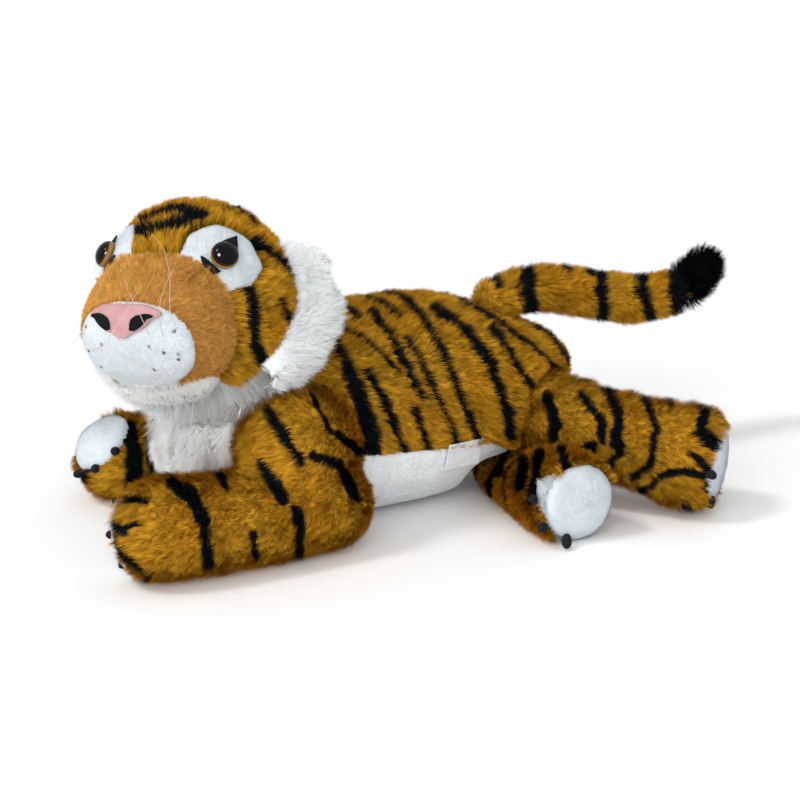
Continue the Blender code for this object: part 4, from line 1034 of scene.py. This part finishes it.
def white(seed, comb, share=1.0, dye=None):
    """Short white pile, plain unless a dye is given."""
    return Cover("white", dye or plain_dye(WHITE, seed), comb, seed + 1, share)


HANGING = toward(-0.3, 0, -1)
BACKWARD = toward(1, 0, -0.35)
UPWARD = toward(0, 0, 1)
# Each leg: its dye, the way its pile lies, and its seed
LEGS = (
    ("front_left", striped(FORELEG_STRIPES, 31), toward(-1, -0.1, -0.1), 131),
    ("front_right", banded(FAR_FORELEG_STRIPES, axis=0, start=-0.115, pitch=26 * MM,
                           width=6.8 * MM, seed=35), toward(-1, 0, 0), 141),
    ("hind_left", striped(HIND_STRIPES, 41), toward(0.6, -0.8, -0.1), 151),
    ("hind_right", banded(FAR_HIND_STRIPES, axis=1, start=-0.105, pitch=30 * MM,
                          width=7.6 * MM, seed=45), toward(-0.3, -1, 0), 161),
)


def build_head():
    crown = (Cover("tiger", crown_dye, comb_head, 111, 1.1, crown_front),
             Cover("long", plain_dye(FLUFF, 112), comb_throat, 113, 1.1, outside(crown_front)),
             Cover("fringe", plain_dye(FLUFF, 118), comb_throat, 119, 1.0, low_throat))
    beside = []
    for side, seed in (("left", 191), ("right", 201)):
        for node, number, share in (("ruff_", seed + 1, 1.1), ("ear_", seed + 4, 1.0)):
            fluff = Cover("long", plain_dye(FLUFF, seed), comb_head, number, share)
            beside.append(Cloth(node + side, "white_cloth", (fluff,)))
    cloth_form("head", "head", [
        Cloth("crown_fur", "tiger_fur", crown),
        Cloth("eye_patch_left", "white_cloth", (white(114, comb_head),)),
        Cloth("eye_patch_right", "white_cloth", (white(116, comb_head),)),
        Cloth("muzzle_bridge", "tan_pile", (Cover("tan", tan_with_crease_shadow, comb_head, 122),)),
        Cloth("muzzle_front", "white_cloth", (white(123, comb_head, dye=dotted_dye),)),
        Cloth("chin", "white_cloth", (Cover("plush", plain_dye(IVORY, 187), comb_head, 188),)),
    ] + beside, ["head_stuffing", "muzzle_stuffing"], voxel=2.2 * MM, rounds=8)
    for side, mirror in (("left", 1), ("right", -1)):
        build_eye(side, mirror)
        for node in ("eyelid_", "eye_corner_", "nostril_"):
            soft_piece(node + side, "head", "felt", voxel=0.45 * MM, rounds=2)
        NODES["eye_washer_" + side].data.materials.clear()
        NODES["eye_washer_" + side].data.materials.append(MATERIAL["washer"])
    soft_piece("nose_pad", "head", "nose", voxel=0.8 * MM, rounds=6)
    for number, (node, shares) in enumerate(HAIRS):
        build_hair("fine_hair_%d" % (number + 1), shares, [node] if node else [])


def build_legs():
    for tag, dye, comb, seed in LEGS:
        body = "leg_" + tag
        covers = [Cover("tiger", dye, comb, seed)]
        if tag == "hind_right":
            covers = [Cover("tiger", dye, comb, seed, 1.0, outside(on_far_hind_sole)),
                      Cover("plush", plain_dye(WHITE, 168), UPWARD, 169, 1.5, on_far_hind_sole)]
        cloth_form(body, body, [
            Cloth("leg_fur_" + tag, "tiger_fur", covers),
            Cloth("sole_" + tag, "white_cloth", (white(seed + 2, UPWARD, 0.9),)),
        ], ["leg_stuffing_" + tag], voxel=2.8 * MM, rounds=12)
        for number in (1, 2, 3):
            soft_piece("claw_%s_%d" % (tag, number), body, "claw",
                       voxel=0.9 * MM, rounds=4)


def build_object():
    cloth_form("torso", "torso", [
        Cloth("back_fur", "tiger_fur", (
            Cover("tiger", torso_dye, BACKWARD, 101, 1.0, outside(on_chest)),
            Cover("bib", plain_dye(IVORY, 102), HANGING, 105, 1.0, on_chest))),
        Cloth("belly_panel", "white_cloth", (
            # Painted light: the belly's white is lighter than the same velboa elsewhere
            white(103, BACKWARD, 0.6, plain_dye(BELLY_WHITE_PAINTED_LIGHT, 103)),
            Cover("bib", plain_dye(IVORY, 106), HANGING, 107, 1.0, on_chest))),
    ], ["torso_stuffing"], voxel=3 * MM, rounds=22)
    build_head()
    build_legs()
    cloth_form("tail", "tail", [
        Cloth("tail_fur", "tiger_fur", (
            Cover("tiger", striped(TAIL_STRIPES, 51), toward(1, 0, 0), 171),)),
    ], ["tail_stuffing"], voxel=2.5 * MM, rounds=12)
    for node, body, slot, cover, rounds, fill in (
            ("tail_tip", "tail", "black_felt",
             Cover("tuft", plain_dye(TUFT, 181, 0.2), toward(1, 0, 0.35), 182), 10, 0.9),
            ("chest_bib", "torso", "ivory_pile",
             Cover("bib", plain_dye(IVORY, 183), HANGING, 184, 1.2), 9, None),
            ("neck_band", "neck", "tiger_fur",
             Cover("bib", neck_dye, HANGING, 185), 4, 0.6)):
        cloth_form(node + "_form", body, [Cloth(node, slot, (cover,))], [], 2 * MM, rounds)
    soft_piece("side_label", "torso", "label", voxel=0.45 * MM, rounds=2)


def background_rays(tree):
    """1 for rays from the camera, and for those that glossy and clear surfaces send on."""
    path = tree.nodes.new("ShaderNodeLightPath")
    total = path.outputs["Is Camera Ray"]
    for name in ("Is Glossy Ray", "Is Transmission Ray"):
        either = tree.nodes.new("ShaderNodeMath")
        either.operation = "MAXIMUM"
        tree.links.new(total, either.inputs[0])
        tree.links.new(path.outputs[name], either.inputs[1])
        total = either.outputs[0]
    return total


# Lamps far away: where each stands seen from the toy, its strength, its width in degrees, and
# whether cloth and whether the glossy eyes see it
SUNS = (
    ("key", BACK * 0.5 - RIGHT * 0.6 + ABOVE * 0.8, 0.84, 12, True, True),
    ("fill", BACK - RIGHT * 0.1, 1.50, 50, True, False),
    ("side", np.array((-1.0, -0.3, 0.12)), 1.0, 36, True, False),
    ("window", BACK - RIGHT * 0.45 + ABOVE * 0.35, 7.0, 20, False, True),
)
DOME = 0.60


def build_stage():
    """White ground and background, even light, and the camera of the photograph."""
    corners = [(x * FLOOR_REACH, y * FLOOR_REACH, 0)
               for x, y in ((-1, -1), (1, -1), (1, 1), (-1, 1))]
    mesh = new_mesh("ground", corners, [(0, 1, 2, 3)])
    ground = new_object("ground", mesh)
    mesh.materials.append(MATERIAL["floor"])

    world = bpy.data.worlds.new("sky")
    bpy.context.scene.world = world
    world.use_nodes = True
    tree = world.node_tree
    light = tree.nodes["Background"]
    seen = tree.nodes.new("ShaderNodeBackground")
    for shader, strength in ((light, DOME), (seen, 1.0)):
        socket(shader, "Color", (1, 1, 1, 1))
        socket(shader, "Strength", strength)
    either = tree.nodes.new("ShaderNodeMixShader")
    tree.links.new(background_rays(tree), either.inputs["Fac"])
    tree.links.new(light.outputs["Background"], either.inputs[1])
    tree.links.new(seen.outputs["Background"], either.inputs[2])
    tree.links.new(either.outputs["Shader"], tree.nodes["World Output"].inputs["Surface"])

    for name, direction, strength, width, on_cloth, on_eyes in SUNS:
        lamp = bpy.data.lights.new(name, "SUN")
        lamp.energy = strength
        lamp.angle = math.radians(width)
        thing = new_object(name, lamp)
        thing.rotation_euler = Vector(-direction).to_track_quat("-Z", "Y").to_euler()
        thing.visible_diffuse = on_cloth
        thing.visible_glossy = on_eyes

    lens = bpy.data.cameras.new("camera")
    lens.lens = LENS
    lens.sensor_width = SENSOR
    camera = new_object("camera", lens)
    camera.location = Vector(CAMERA_PLACE)
    camera.rotation_euler = Vector(-BACK).to_track_quat("-Z", "Y").to_euler()
    bpy.context.scene.camera = camera
    bpy.context.scene.view_settings.view_transform = "Standard"


make_materials()
build_object()
build_stage()
